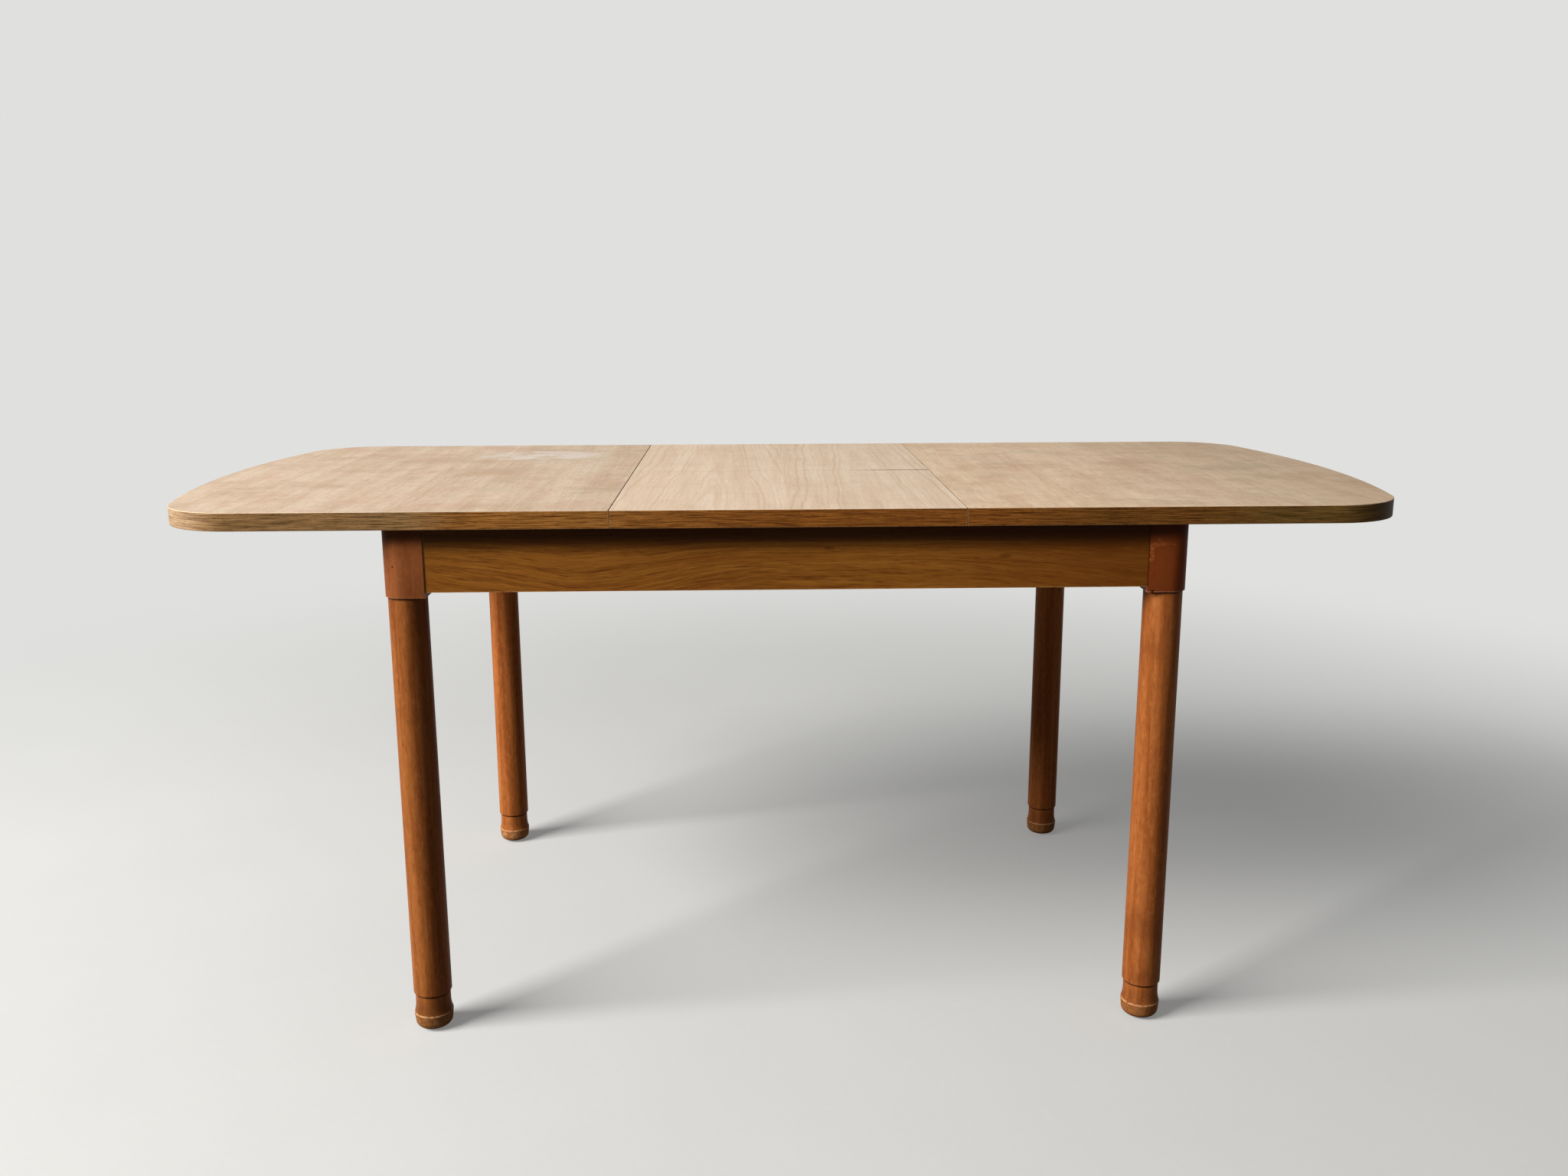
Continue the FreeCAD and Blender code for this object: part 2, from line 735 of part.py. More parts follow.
def save_tops():
    """Both half tops with their running gear: the left uses the inner side of the guides."""
    for name, gear_y, tongue_side in (("right", outer_runner_y, -1), ("left", runner_inner_face, 1)):
        core, veneer, lipping = board(half_top_outline)
        runner, screws, peg, bores = running_gear(gear_y, tongue_side)
        rear_bores = Part.makeCompound(bores)
        pieces = {
            "top_core": one_solid(core.cut(rear_bores).cut(mirrored(rear_bores, y_axis))),
            "top_veneer": veneer,
            "top_lipping": lipping,
            "front_runner": mirrored(runner, y_axis),
            "rear_runner": runner,
            "runner_screws": group(screws + [mirrored(screw, y_axis) for screw in screws]),
            "stop_pegs": group([peg, mirrored(peg, y_axis)]),
        }
        for piece, shape in pieces.items():
            save(name + "_" + piece, shape if name == "right" else mirrored(shape, x_axis))


def save_leaf():
    """The folding leaf: rear half as drawn, front half mirrored, with their halves of the hinges."""
    core, veneer, lipping = board(leaf_outline)
    bores = Part.makeCompound([hinge_bore(place) for place in hinge_places()])
    pieces = {
        "core": one_solid(core.cut(bores)),
        "veneer": veneer,
        "lipping": one_solid(lipping.cut(bores)),
        "hinge_barrels": group([hinge_barrel(place) for place in hinge_places()]),
        "hinge_links": group([hinge_link(place) for place in hinge_places()]),
        "hinge_pins": group([hinge_pin_bar(place, 0) for place in hinge_places()]),
    }
    for piece, shape in pieces.items():
        save("leaf_rear_" + piece, shape)
        save("leaf_front_" + piece, mirrored(shape, y_axis))


def save_corners():
    """Posts, legs and brackets of the four corners, and their fasteners."""
    for name, side in corners.items():
        save(name + "_post", to_corner(post_solid(), side))
        save(name + "_leg", to_corner(leg_solid(), side))
        save(name + "_bracket", to_corner(bracket_solid(), side))
    everywhere = {
        "foot_glides": [glide()],
        "rail_dowels": corner_dowels(0),
        "bracket_screws": bracket_screws(),
        "hanger_bolts": [hanger_bolt()],
        "hanger_washers": [hanger_washer()],
        "hanger_nuts": [hanger_nut()],
    }
    for name, shapes in everywhere.items():
        save(name, group([to_corner(shape, side) for side in corners.values() for shape in shapes]))


def save_rails():
    """Aprons along the table and end rails across it."""
    apron = apron_solid()
    save("front_apron", apron)
    save("rear_apron", mirrored(apron, y_axis))
    save("right_end_rail", end_rail_solid(outer_runner_y, -1))
    save("left_end_rail", mirrored(end_rail_solid(runner_inner_face, 1), x_axis))


def save_well():
    """Guides, bearers and blocks, with their screws."""
    bores = [bore for sx in (-1, 1) for bore in bearer_screw_bores(sx)]
    guide = one_solid(guide_solid().cut(Part.makeCompound(bores)))
    save("rear_guide", guide)
    save("front_guide", mirrored(guide, y_axis))
    save("left_bearer", bearer_solid(-1))
    save("right_bearer", bearer_solid(1))
    sides = list(corners.values())
    save("bearer_blocks", group([block_solid(sx, sy) for sx, sy in sides]))
    save("block_screws", group([screw for sx, sy in sides for screw in block_screws(sx, sy)]))
    save("bearer_screws", group([screw for sx in (-1, 1) for screw in bearer_screws(sx)]))


save_tops()
save_leaf()
save_corners()
save_rails()
save_well()
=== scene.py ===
import json
import math
import random

import bmesh
import bpy
from mathutils import Matrix, Vector, noise

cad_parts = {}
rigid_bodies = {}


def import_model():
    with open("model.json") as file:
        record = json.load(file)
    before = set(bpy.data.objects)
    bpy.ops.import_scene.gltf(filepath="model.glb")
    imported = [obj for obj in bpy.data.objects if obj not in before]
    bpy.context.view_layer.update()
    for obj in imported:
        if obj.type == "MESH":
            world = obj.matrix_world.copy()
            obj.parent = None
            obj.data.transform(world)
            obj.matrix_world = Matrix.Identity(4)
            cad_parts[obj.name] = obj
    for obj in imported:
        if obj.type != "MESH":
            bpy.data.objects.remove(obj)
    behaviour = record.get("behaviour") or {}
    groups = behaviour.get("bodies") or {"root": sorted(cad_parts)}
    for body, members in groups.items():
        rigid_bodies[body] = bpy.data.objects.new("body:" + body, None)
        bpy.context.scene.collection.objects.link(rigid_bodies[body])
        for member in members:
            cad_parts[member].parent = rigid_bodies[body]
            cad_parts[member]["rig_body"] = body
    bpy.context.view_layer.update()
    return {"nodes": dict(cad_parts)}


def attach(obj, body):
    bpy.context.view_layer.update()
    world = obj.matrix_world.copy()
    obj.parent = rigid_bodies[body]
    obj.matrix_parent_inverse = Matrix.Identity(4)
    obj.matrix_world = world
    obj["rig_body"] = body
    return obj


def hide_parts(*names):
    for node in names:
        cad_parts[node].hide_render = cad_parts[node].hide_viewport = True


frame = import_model()

# The view of the photograph: from in front of the table, a hand to the left of its middle, at chest
# height and tilted down a little. There is no shift and no depth of field.
view_place = (-0.04712, -2.0852, 1.00697)
view_turn = -0.02398
view_tilt = -0.21391
view_roll = 0.00353
view = bpy.data.cameras.new("photograph_view")
view.sensor_fit = "HORIZONTAL"
view.sensor_width = 36.0
view.lens = 31.035
view.clip_end = 90.0
camera = bpy.data.objects.new("photograph_view", view)
looking = Matrix.Translation(view_place)
for amount, axis in ((view_turn, "Z"), (view_tilt, "X"), (view_roll, "Y"), (math.pi / 2, "X")):
    looking = looking @ Matrix.Rotation(amount, 4, axis)
camera.matrix_world = looking
bpy.context.scene.collection.objects.link(camera)
bpy.context.scene.camera = camera
bpy.context.scene.view_settings.view_transform = "Standard"


# The studio: a plain pale floor without an edge, a big soft light high on the left and a little in
# front, as the window in the photograph, and a weak even light from all round.
class Socket:
    """An output of a node. Python's operators on it add Math nodes to its tree."""

    def __init__(self, tree, output=None):
        self.tree = tree
        self.output = output

    def node(self, kind, sockets=None, result=0, **settings):
        """Adds any node: its settings first, then the values or links of its sockets."""
        made = self.tree.nodes.new(kind)
        for name, value in settings.items():
            setattr(made, name, value)
        for name, value in (sockets or {}).items():
            if isinstance(value, Socket):
                self.tree.links.new(value.output, made.inputs[name])
            else:
                made.inputs[name].default_value = value
        return Socket(self.tree, made.outputs[result] if len(made.outputs) else None)

    def math(self, operation, *values):
        return self.node("ShaderNodeMath", dict(enumerate(values)), operation=operation)

    def __add__(self, other):
        return self.math("ADD", self, other)

    def __radd__(self, other):
        return self.math("ADD", other, self)

    def __sub__(self, other):
        return self.math("SUBTRACT", self, other)

    def __rsub__(self, other):
        return self.math("SUBTRACT", other, self)

    def __mul__(self, other):
        return self.math("MULTIPLY", self, other)

    def __rmul__(self, other):
        return self.math("MULTIPLY", other, self)

    def __truediv__(self, other):
        return self.math("DIVIDE", self, other)

    def __rtruediv__(self, other):
        return self.math("DIVIDE", other, self)

    def __pow__(self, other):
        return self.math("POWER", self, other)

    def __gt__(self, other):
        return self.math("GREATER_THAN", self, other)

    def __abs__(self):
        return self.math("ABSOLUTE", self)

    def feed(self, socket):
        """Links this output to the socket of another node."""
        self.tree.links.new(self.output, socket)

    def parts(self):
        """The three numbers of a vector."""
        split = self.tree.nodes.new("ShaderNodeSeparateXYZ")
        self.feed(split.inputs[0])
        return [Socket(self.tree, output) for output in split.outputs]

    def vector(self, x, y, z):
        """A vector of three numbers or sockets."""
        return self.node("ShaderNodeCombineXYZ", {"X": x, "Y": y, "Z": z})

    def cloud(self, scale, detail, roughness):
        """Soft noise at this vector, with one scale or with three that stretch it."""
        if isinstance(scale, tuple):
            stretched = self.node("ShaderNodeVectorMath", {0: self, 1: scale}, operation="MULTIPLY")
            return stretched.cloud(1, detail, roughness)
        sockets = {"Vector": self, "Scale": scale, "Detail": detail, "Roughness": roughness}
        return self.node("ShaderNodeTexNoise", sockets)

    def between(self, low, high):
        """0 below the low value, 1 above the high one, and a smooth step from one to the other."""
        sockets = {"Value": self, "From Min": low, "From Max": high}
        return self.node("ShaderNodeMapRange", sockets, interpolation_type="SMOOTHSTEP")

    def most(self, other):
        """The larger of this value and another."""
        return self.math("MAXIMUM", self, other)

    def blend(self, first, second, mode="MIX"):
        """The first colour where this value is 0, the second where it is 1. A colour is a socket, or
        red, green and blue from 0 to 255."""
        first, second = [tint(*colour) if isinstance(colour, tuple) else colour for colour in (first, second)]
        colours = {0: self, 6: first, 7: second}
        return self.node("ShaderNodeMix", colours, 2, data_type="RGBA", blend_type=mode)

    def covered(self, *layers):
        """This colour under layers, each given as the mask where it lies, its strength and its colour."""
        colour = self
        for mask, strength, over in layers:
            colour = (mask * strength).blend(colour, over)
        return colour


def tint(red, green, blue):
    """A colour given in the usual 0 to 255, as the shader needs it."""
    levels = [value / 255 for value in (red, green, blue)]
    linear = [v / 12.92 if v <= 0.04045 else ((v + 0.055) / 1.055) ** 2.4 for v in levels]
    return (*linear, 1.0)


wood_gloss = 0.16


def new_finish(name, **fixed):
    """A new finish: its material, its object coordinates and its shader."""
    finish = bpy.data.materials.new(name)
    finish.use_nodes = True
    shader = finish.node_tree.nodes["Principled BSDF"]
    shader.inputs["Specular IOR Level"].default_value = wood_gloss
    for socket, value in fixed.items():
        shader.inputs[socket.replace("_", " ")].default_value = value
    place = Socket(finish.node_tree).node("ShaderNodeTexCoord", None, "Object")
    return finish, place, shader


def dress(shader, colour, roughness, height, strength, depth=0.0003):
    """Feeds a finish's colour, roughness and relief to its shader. The depth is in metres."""
    colour.feed(shader.inputs["Base Color"])
    roughness.feed(shader.inputs["Roughness"])
    relief = height.node("ShaderNodeBump", {"Strength": strength, "Distance": depth, "Height": height})
    relief.feed(shader.inputs["Normal"])


def in_scene(name, mesh):
    """An object for a mesh, at the origin."""
    piece = bpy.data.objects.new(name, mesh)
    bpy.context.scene.collection.objects.link(piece)
    return piece


def meshed(work, name, finish):
    """Ends a shape in the making as a mesh with a finish."""
    mesh = bpy.data.meshes.new(name)
    work.to_mesh(mesh)
    work.free()
    mesh.materials.append(finish)
    return mesh


floor_radius = 45.0
floor_sides = 128
horizon_colour = tint(224, 224, 222)
floor_finish, place, shader = new_finish("pale_floor", Roughness=0.9)
patches = place.cloud(1.3, 4, 0.6)
speckle = place.cloud(90, 3, 0.7)
floor_colour = (patches * 0.7 + speckle * 0.3).between(0.25, 0.75).blend((212, 212, 210), (219, 219, 217))
floor_colour.feed(shader.inputs["Base Color"])
seen_floor = Socket(floor_finish.node_tree, shader.outputs[0])
lit_floor = place.node("ShaderNodeBsdfDiffuse", {"Color": tint(104, 102, 98)})
glow = place.node("ShaderNodeEmission", {"Color": horizon_colour, "Strength": 1.0})


def seen_rays(start):
    """1 for what the camera sees straight, in a reflection or through glass, 0 for soft light."""
    straight, mirrored_rays, through = [start.node("ShaderNodeLightPath", None, "Is " + kind + " Ray")
                                        for kind in ("Camera", "Glossy", "Transmission")]
    return straight.most(mirrored_rays.most(through))


far_off = place.node("ShaderNodeVectorMath", {0: place}, "Value", operation="LENGTH").between(1, 3.2)
sweep = place.node("ShaderNodeMixShader", {0: 0.25 + 0.75 * far_off, 1: seen_floor, 2: glow})
floor_look = place.node("ShaderNodeMixShader", {0: seen_rays(place), 1: lit_floor, 2: sweep})
# Seen from below, the floor is clear, so that the underside of the table shows
from_below = place.node("ShaderNodeNewGeometry", None, "Backfacing")
clear = place.node("ShaderNodeBsdfTransparent")
floor_look = place.node("ShaderNodeMixShader", {0: from_below, 1: floor_look, 2: clear})
floor_look.feed(floor_finish.node_tree.nodes["Material Output"].inputs["Surface"])
floor_work = bmesh.new()
floor_rim = [floor_work.verts.new((floor_radius * math.cos(a), floor_radius * math.sin(a), 0.0))
             for a in [math.tau * k / floor_sides for k in range(floor_sides)]]
floor_work.faces.new(floor_rim)
studio_floor = in_scene("studio_floor", meshed(floor_work, "studio_floor", floor_finish))

world = bpy.data.worlds.new("studio")
world.use_nodes = True
world.node_tree.nodes.clear()
air = Socket(world.node_tree)
even = air.node("ShaderNodeBackground", {"Color": tint(236, 240, 246), "Strength": 0.1})
pale = air.node("ShaderNodeBackground", {"Color": horizon_colour, "Strength": 1.0})
surroundings = air.node("ShaderNodeMixShader", {0: seen_rays(air), 1: even, 2: pale})
air.node("ShaderNodeOutputWorld", {"Surface": surroundings})
bpy.context.scene.world = world

window_light = bpy.data.lights.new("window_light", "AREA")
window_light.shape = "RECTANGLE"
window_light.size = 3.4
window_light.size_y = 2.6
window_light.energy = 760.0
window_light.color = (1.0, 0.985, 0.96)
window = bpy.data.objects.new("window_light", window_light)
window.location = (-5.2, -2.5, 3.9)
window.rotation_euler = (Vector((0.0, 0.0, 0.55)) - window.location).to_track_quat("-Z", "Y").to_euler()
bpy.context.scene.collection.objects.link(window)


# The four legs: beech turned on a lathe, tapering slightly towards the top, with a spigot that is
# glued up into the corner post, and a shoulder, neck, ridge and rounded foot at the floor. Stained
# orange brown and sealed with a satin lacquer.
corners = {"front_left": (-1, -1), "front_right": (1, -1), "rear_left": (-1, 1), "rear_right": (1, 1)}
leg_x = 0.501
leg_y = 0.3345
post_bottom = 0.6225
leg_sides = 96


def new_tree(name, wanted):
    """A Geometry Nodes tree with named inputs. Returns it and its input sockets by name."""
    tree = bpy.data.node_groups.new(name, "GeometryNodeTree")
    tree.interface.new_socket("Geometry", in_out="INPUT", socket_type="NodeSocketGeometry")
    for label, kind in wanted.items():
        tree.interface.new_socket(label, in_out="INPUT", socket_type="NodeSocket" + kind)
    tree.interface.new_socket("Geometry", in_out="OUTPUT", socket_type="NodeSocketGeometry")
    entry = tree.nodes.new("NodeGroupInput")
    return tree, {output.name: Socket(tree, output) for output in entry.outputs if output.name}


def end_tree(geometry, finish):
    """Makes a tree's instances real, sets their finish and ends the tree."""
    real = geometry.node("GeometryNodeRealizeInstances", {0: geometry})
    dressed = real.node("GeometryNodeSetMaterial", {0: real, "Material": finish})
    dressed.feed(geometry.tree.nodes.new("NodeGroupOutput").inputs[0])


def grown(name, tree, source, values):
    """The plain mesh that a tree makes from a source mesh and the values of its named inputs."""
    holder = in_scene(name + "_source", source)
    modifier = holder.modifiers.new("grow", "NODES")
    modifier.node_group = tree
    for item in tree.interface.items_tree:
        if item.in_out == "INPUT" and item.name in values:
            modifier[item.identifier] = values[item.name]
    depsgraph = bpy.context.evaluated_depsgraph_get()
    mesh = bpy.data.meshes.new_from_object(holder.evaluated_get(depsgraph), depsgraph=depsgraph)
    mesh.name = name
    bpy.data.objects.remove(holder)
    return mesh


def smoothed(mesh, degrees=32.0):
    """Smooth shading that stays crisp at edges sharper than an angle."""
    mesh.polygons.foreach_set("use_smooth", [True] * len(mesh.polygons))
    mesh.set_sharp_from_angle(angle=math.radians(degrees))
    return mesh


def stands_for(node, mesh):
    """Puts a mesh in the place of a CAD node: it takes the node's name and rides on its body, and the node is
    hidden.
    """
    piece = in_scene(node, mesh)
    cad = frame["nodes"][node]
    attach(piece, cad["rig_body"])
    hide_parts(node)


lathe_inputs = {"Sides": "Int", "Thread Pitch": "Float", "Thread Depth": "Float", "Thread From": "Float",
                "Slotted": "Bool", "Slot Width": "Float", "Slot Floor": "Float", "Finish": "Material"}
lathe, given = new_tree("lathe", lathe_inputs)
outline = given["Geometry"]
start = Socket(lathe)
steps = given["Sides"] + 1
count = start.node("GeometryNodeAttributeDomainSize", {0: outline}, "Point Count")
sheet = start.node("GeometryNodeMeshGrid", {"Vertices X": count, "Vertices Y": steps})
index = start.node("GeometryNodeInputIndex")
row = start.math("FLOOR", index / steps)
turn = (index - row * steps) / given["Sides"]
sample = {"Geometry": outline, "Value": start.node("GeometryNodeInputPosition"), "Index": row}
radius, _, height = start.node("GeometryNodeSampleIndex", sample, data_type="FLOAT_VECTOR").parts()
valley = start.math("PINGPONG", height / given["Thread Pitch"] - turn + 100.0, 0.5) * 2
radius = radius - valley * given["Thread Depth"] * (height > given["Thread From"])
angle = turn * math.tau
round_place = start.vector(radius * start.math("COSINE", angle), radius * start.math("SINE", angle), height)
bent = start.node("GeometryNodeSetPosition", {"Geometry": sheet, "Position": round_place})
closed = start.node("GeometryNodeMergeByDistance", {"Geometry": bent, "Distance": 1e-6})
cutter_height = 0.01
cutter_size = start.vector(0.05, given["Slot Width"], cutter_height)
cutter = start.node("GeometryNodeMeshCube", {"Size": cutter_size})
cutter = start.node("GeometryNodeTransform", {
    "Geometry": cutter, "Translation": start.vector(0.0, 0.0, given["Slot Floor"] - cutter_height / 2)})
pair = {"Mesh 1": closed, "Mesh 2": cutter}
slotted = start.node("GeometryNodeMeshBoolean", pair, operation="DIFFERENCE")
choice = {"Switch": given["Slotted"], "False": closed, "True": slotted}
chosen = start.node("GeometryNodeSwitch", choice, input_type="GEOMETRY")
end_tree(chosen, given["Finish"])


def turned(name, profile, sides, finish, **more):
    """A turned piece about the upright axis, from a profile of (radius, height) points."""
    line = bpy.data.meshes.new(name + "_profile")
    spots = [(radius, 0.0, height) for radius, height in profile]
    line.from_pydata(spots, [(k, k + 1) for k in range(len(spots) - 1)], [])
    values = {"Sides": sides, "Thread Pitch": 1.0, "Thread Depth": 0.0, "Thread From": 1.0, "Slotted": False,
              "Slot Width": 0.001, "Slot Floor": 0.0, "Finish": finish}
    values.update({key.replace("_", " "): value for key, value in more.items()})
    mesh = grown(name, lathe, line, values)
    work = bmesh.new()
    work.from_mesh(mesh)
    bmesh.ops.dissolve_degenerate(work, dist=1e-7, edges=work.edges)
    bmesh.ops.recalc_face_normals(work, faces=work.faces)
    work.to_mesh(mesh)
    work.free()
    return smoothed(mesh)


def bend(middle, radius, start_angle, end_angle, pieces):
    """Points of an arc in a profile, angles in degrees."""
    angles = [math.radians(start_angle + (end_angle - start_angle) * k / pieces) for k in range(pieces + 1)]
    return [(middle[0] + radius * math.cos(a), middle[1] + radius * math.sin(a)) for a in angles]


shoulder_level = 0.0535
ridge_level = 0.024
groove_half = 0.0007
stained_gloss = 0.06


def leg_finish(name, shift, depth, grime, bareness):
    """Orange brown stain on beech, darker on some legs than on others: flecks along the grain,
    handling marks and a worn foot."""
    finish, place, shader = new_finish(name, Specular_IOR_Level=stained_gloss)
    x, y, z = place.parts()
    wood = place.vector(x + shift, y - shift * 2, z)
    streaks = wood.cloud((90, 90, 3), 4, 0.6)
    bands = wood.cloud((28, 28, 1.2), 3, 0.55)
    flecks = wood.cloud((620, 620, 110), 2, 0.6).between(0.56, 0.7)
    hands = wood.cloud((14, 14, 9), 4, 0.6)
    mottled = wood.cloud((210, 210, 70), 4, 0.7)
    colour = bands.between(0.3, 0.7).blend((180, 106, 49), (157, 86, 37)).covered(
        (streaks.between(0.42, 0.7), 0.55, (124, 62, 28)),
        (streaks.between(0.6, 0.35), 0.35, (192, 120, 67)),
        (mottled.between(0.5, 0.66), 0.3, (110, 54, 24)),
        (mottled.between(0.46, 0.32), 0.34, (204, 130, 74)),
        (flecks, 0.26, (100, 47, 20)),
        (hands.between(0.55, 0.75), 0.5, (118, 60, 26)))
    colour = place.node("ShaderNodeVectorMath", {0: colour, "Scale": depth}, operation="SCALE")
    # Painted shade in the shoulder groove and close under the post, grime round the neck, bare wood on ridge
    # and foot, and darker close to the floor
    groove_shade = 1 - abs(z - shoulder_level + groove_half).between(groove_half, 0.0022)
    round_neck = 1 - z.between(0.03, 0.053)
    ragged = place.cloud(260, 3, 0.6)
    worn_places = place.cloud(110, 3, 0.6)
    on_ridge = (1 - abs(z - ridge_level).between(0.0004, 0.002)) * ragged.between(0.32, 0.54)
    below_ridge = 1 - z.between(ridge_level - 0.003, ridge_level - 0.0012)
    on_foot = below_ridge * (0.45 + 0.55 * worn_places.between(0.35, 0.65))
    near_floor = 1 - z.between(0.003, 0.013)
    specks = place.cloud((420, 420, 260), 3, 0.6).between(0.55, 0.68) * (1 - z.between(0.036, 0.06))
    # Painted shadow of the post on the top few millimetres of the leg
    shade_under_post = z.between(post_bottom - 0.0055, post_bottom - 0.001)
    colour = colour.covered(
        (groove_shade, 0.8, (44, 20, 10)),
        (round_neck, grime, (98, 58, 28)),
        (on_ridge, 0.68, (222, 168, 120)),
        (on_foot, 0.6, (146, 94, 50)),
        (on_foot * bareness, ragged.between(0.4, 0.58), (206, 158, 108)),
        (near_floor, 0.55, (84, 50, 26)),
        (specks, 0.45, (86, 44, 20)),
        (shade_under_post, 0.75, (48, 20, 9)))
    roughness = 0.36 + 0.2 * hands + 0.25 * on_foot + 0.1 * flecks
    dress(shader, colour, roughness, streaks * 0.5 + flecks * -0.5 + hands * 0.6 + ragged * on_foot, 0.35)
    return finish


neck_radius = 0.024
top_radius = 0.0256
taper_radius = 0.0262
taper_start = 0.0555
spigot_radius = 0.015
spigot_top = 0.6825
leg_profile = [(0.0, 0.0025)] + bend((0.0166, 0.0115), 0.009, -90, 0, 8) + [(0.0262, 0.0175)]
leg_profile += [(0.02665, 0.0222)] + bend((0.0261, 0.0238), 0.0006, 0, 75, 4)
leg_profile += bend((0.0797, 0.04), 0.0557, 196.0, 180, 8)
leg_profile += [(neck_radius, 0.046), (neck_radius, 0.0516), (0.02375, 0.0519), (0.023, 0.052)]
leg_profile += [(0.023, shoulder_level), (0.0241, shoulder_level)]
leg_profile += bend((0.0242, shoulder_level + 0.002), 0.002, -80, 0, 6)
taper = (top_radius - taper_radius) / (post_bottom - taper_start)
leg_profile += [(taper_radius + taper * (z - taper_start), z)
                for z in [taper_start + 0.0188 * k for k in range(1, 30)]]
leg_profile += [(top_radius, post_bottom), (spigot_radius, post_bottom), (spigot_radius, spigot_top - 0.001)]
leg_profile += [(spigot_radius - 0.0008, spigot_top), (0.0, spigot_top)]
# How dark each leg is, how grimy its neck and how bare its foot
leg_wear = {"front_left": (0.74, 0.55, 0.3), "front_right": (0.98, 0.3, 0.15),
            "rear_left": (1.05, 0.1, 0.85), "rear_right": (0.95, 0.35, 0.25)}
for number, (corner, (sx, sy)) in enumerate(corners.items()):
    finish = leg_finish(corner + "_leg_stain", 0.173 * number, *leg_wear[corner])
    mesh = turned(corner + "_leg", leg_profile, leg_sides, finish)
    mesh.transform(Matrix.Translation((sx * leg_x, sy * leg_y, 0.0)) @ Matrix.Rotation(number * 1.3, 4, "Z"))
    stands_for(corner + "_leg", mesh)


# Nail-on glides: a domed steel disc with a nail through its middle, driven into each foot so that
# the table can be pushed over a floor. They are dirty and scratched from it.
def metal(name, bright, dull, rust, roughness):
    """A plain metal with scratches, dull patches and a little rust."""
    finish, place, shader = new_finish(name, Metallic=1.0, Specular_IOR_Level=0.5)
    patches = place.cloud(160, 4, 0.6)
    grain = place.cloud(900, 3, 0.7)
    scratches = place.cloud((2400, 160, 2400), 2, 0.5).between(0.55, 0.75)
    spots = place.cloud(70, 5, 0.7).between(0.6, 0.72)
    colour = patches.between(0.35, 0.7).blend(bright, dull)
    colour = colour.covered((scratches, 0.35, bright), (spots, 0.7, rust))
    (1.0 - spots * 0.7).feed(shader.inputs["Metallic"])
    rough = roughness + 0.18 * patches + 0.3 * spots - 0.08 * scratches
    dress(shader, colour, rough, grain + scratches, 0.3, 0.00008)
    return finish


fastener_inputs = {"Fastener": "Object", "Spin": "Float", "Seed": "Int", "Finish": "Material"}
placing, given = new_tree("placed_fasteners", fastener_inputs)
start = Socket(placing)
shape = start.node("GeometryNodeObjectInfo", {"Object": given["Fastener"]}, "Geometry")
aim = start.node("GeometryNodeInputNamedAttribute", {"Name": "aim"}, data_type="FLOAT_VECTOR")
aligned = start.node("FunctionNodeAlignRotationToVector", {"Vector": aim}, axis="Z")
chance = start.node("FunctionNodeRandomValue", {"Seed": given["Seed"]}, 1, data_type="FLOAT")
spin = start.node("FunctionNodeAxisAngleToRotation", {
    "Axis": (0, 0, 1), "Angle": chance * given["Spin"]})
facing = start.node("FunctionNodeRotateRotation", {0: aligned, 1: spin}, rotation_space="LOCAL")
spread = start.node("GeometryNodeInstanceOnPoints", {
    "Points": given["Geometry"], "Instance": shape, "Rotation": facing})
end_tree(spread, given["Finish"])


def placed(node, pattern, spots, seed=1):
    """Puts copies of a fastener at (place, direction) spots in the place of a CAD node."""
    points = bpy.data.meshes.new(node + "_spots")
    points.from_pydata([place for place, direction in spots], [], [])
    aims = points.attributes.new("aim", "FLOAT_VECTOR", "POINT")
    aims.data.foreach_set("vector", [value for place, direction in spots for value in direction])
    holder = in_scene(node + "_pattern", pattern)
    values = {"Fastener": holder, "Spin": math.tau, "Seed": seed, "Finish": pattern.materials[0]}
    mesh = grown(node, placing, points, values)
    bpy.data.objects.remove(holder)
    stands_for(node, smoothed(mesh))


up = Vector((0, 0, 1))
glide_steel = metal("scuffed_glide_steel", (150, 148, 144), (84, 80, 76), (82, 58, 40), 0.38)
glide_profile = [(0.0, 0.0)] + bend((0.012, 0.001), 0.001, -90, 0, 4) + [(0.013, 0.0025), (0.0015, 0.0025)]
glide_profile += [(0.0015, 0.0145), (0.0, 0.016)]
glide = turned("foot_glide", glide_profile, 48, glide_steel)
leg_spots = [Vector((sx * leg_x, sy * leg_y, 0.0)) for sx, sy in corners.values()]
placed("foot_glides", glide, [(spot, up) for spot in leg_spots])


# Corner posts: solid blocks with a large round on the outside corner and a chamfer inside for the
# bracket, bored from below for the leg and at the sides for the rails' dowels. Stained redder and
# darker than the legs, and rubbed at the arrises.
def softened(node, width, finish):
    """Puts a CAD solid with its arrises rounded over in the place of its node."""
    work = bmesh.new()
    work.from_mesh(frame["nodes"][node].data)
    bmesh.ops.remove_doubles(work, verts=work.verts, dist=1e-6)
    bmesh.ops.dissolve_limit(work, angle_limit=math.radians(1), verts=work.verts, edges=work.edges)
    for face in work.faces:
        bends = [edge.calc_face_angle(0.0) for edge in face.edges if edge.is_manifold]
        face.smooth = any(math.radians(1) < angle < math.radians(30) for angle in bends)
    arrises = [e for e in work.edges if e.is_manifold and e.calc_face_angle(0.0) > math.radians(30)]
    rounded = bmesh.ops.bevel(work, geom=arrises, offset=width, segments=3, profile=0.5, affect="EDGES",
                              clamp_overlap=True)
    for face in rounded["faces"]:
        face.smooth = True
    stands_for(node, meshed(work, node, finish))


def patch(*spans):
    """1 in the middle of an oval patch and 0 at its rim. Two directions are given, each as a value, its
    middle and its reach."""
    wide, high = [((value - middle) / reach) ** 2.0 for value, middle, reach in (spans[:3], spans[3:])]
    return 1 - (wide + high)


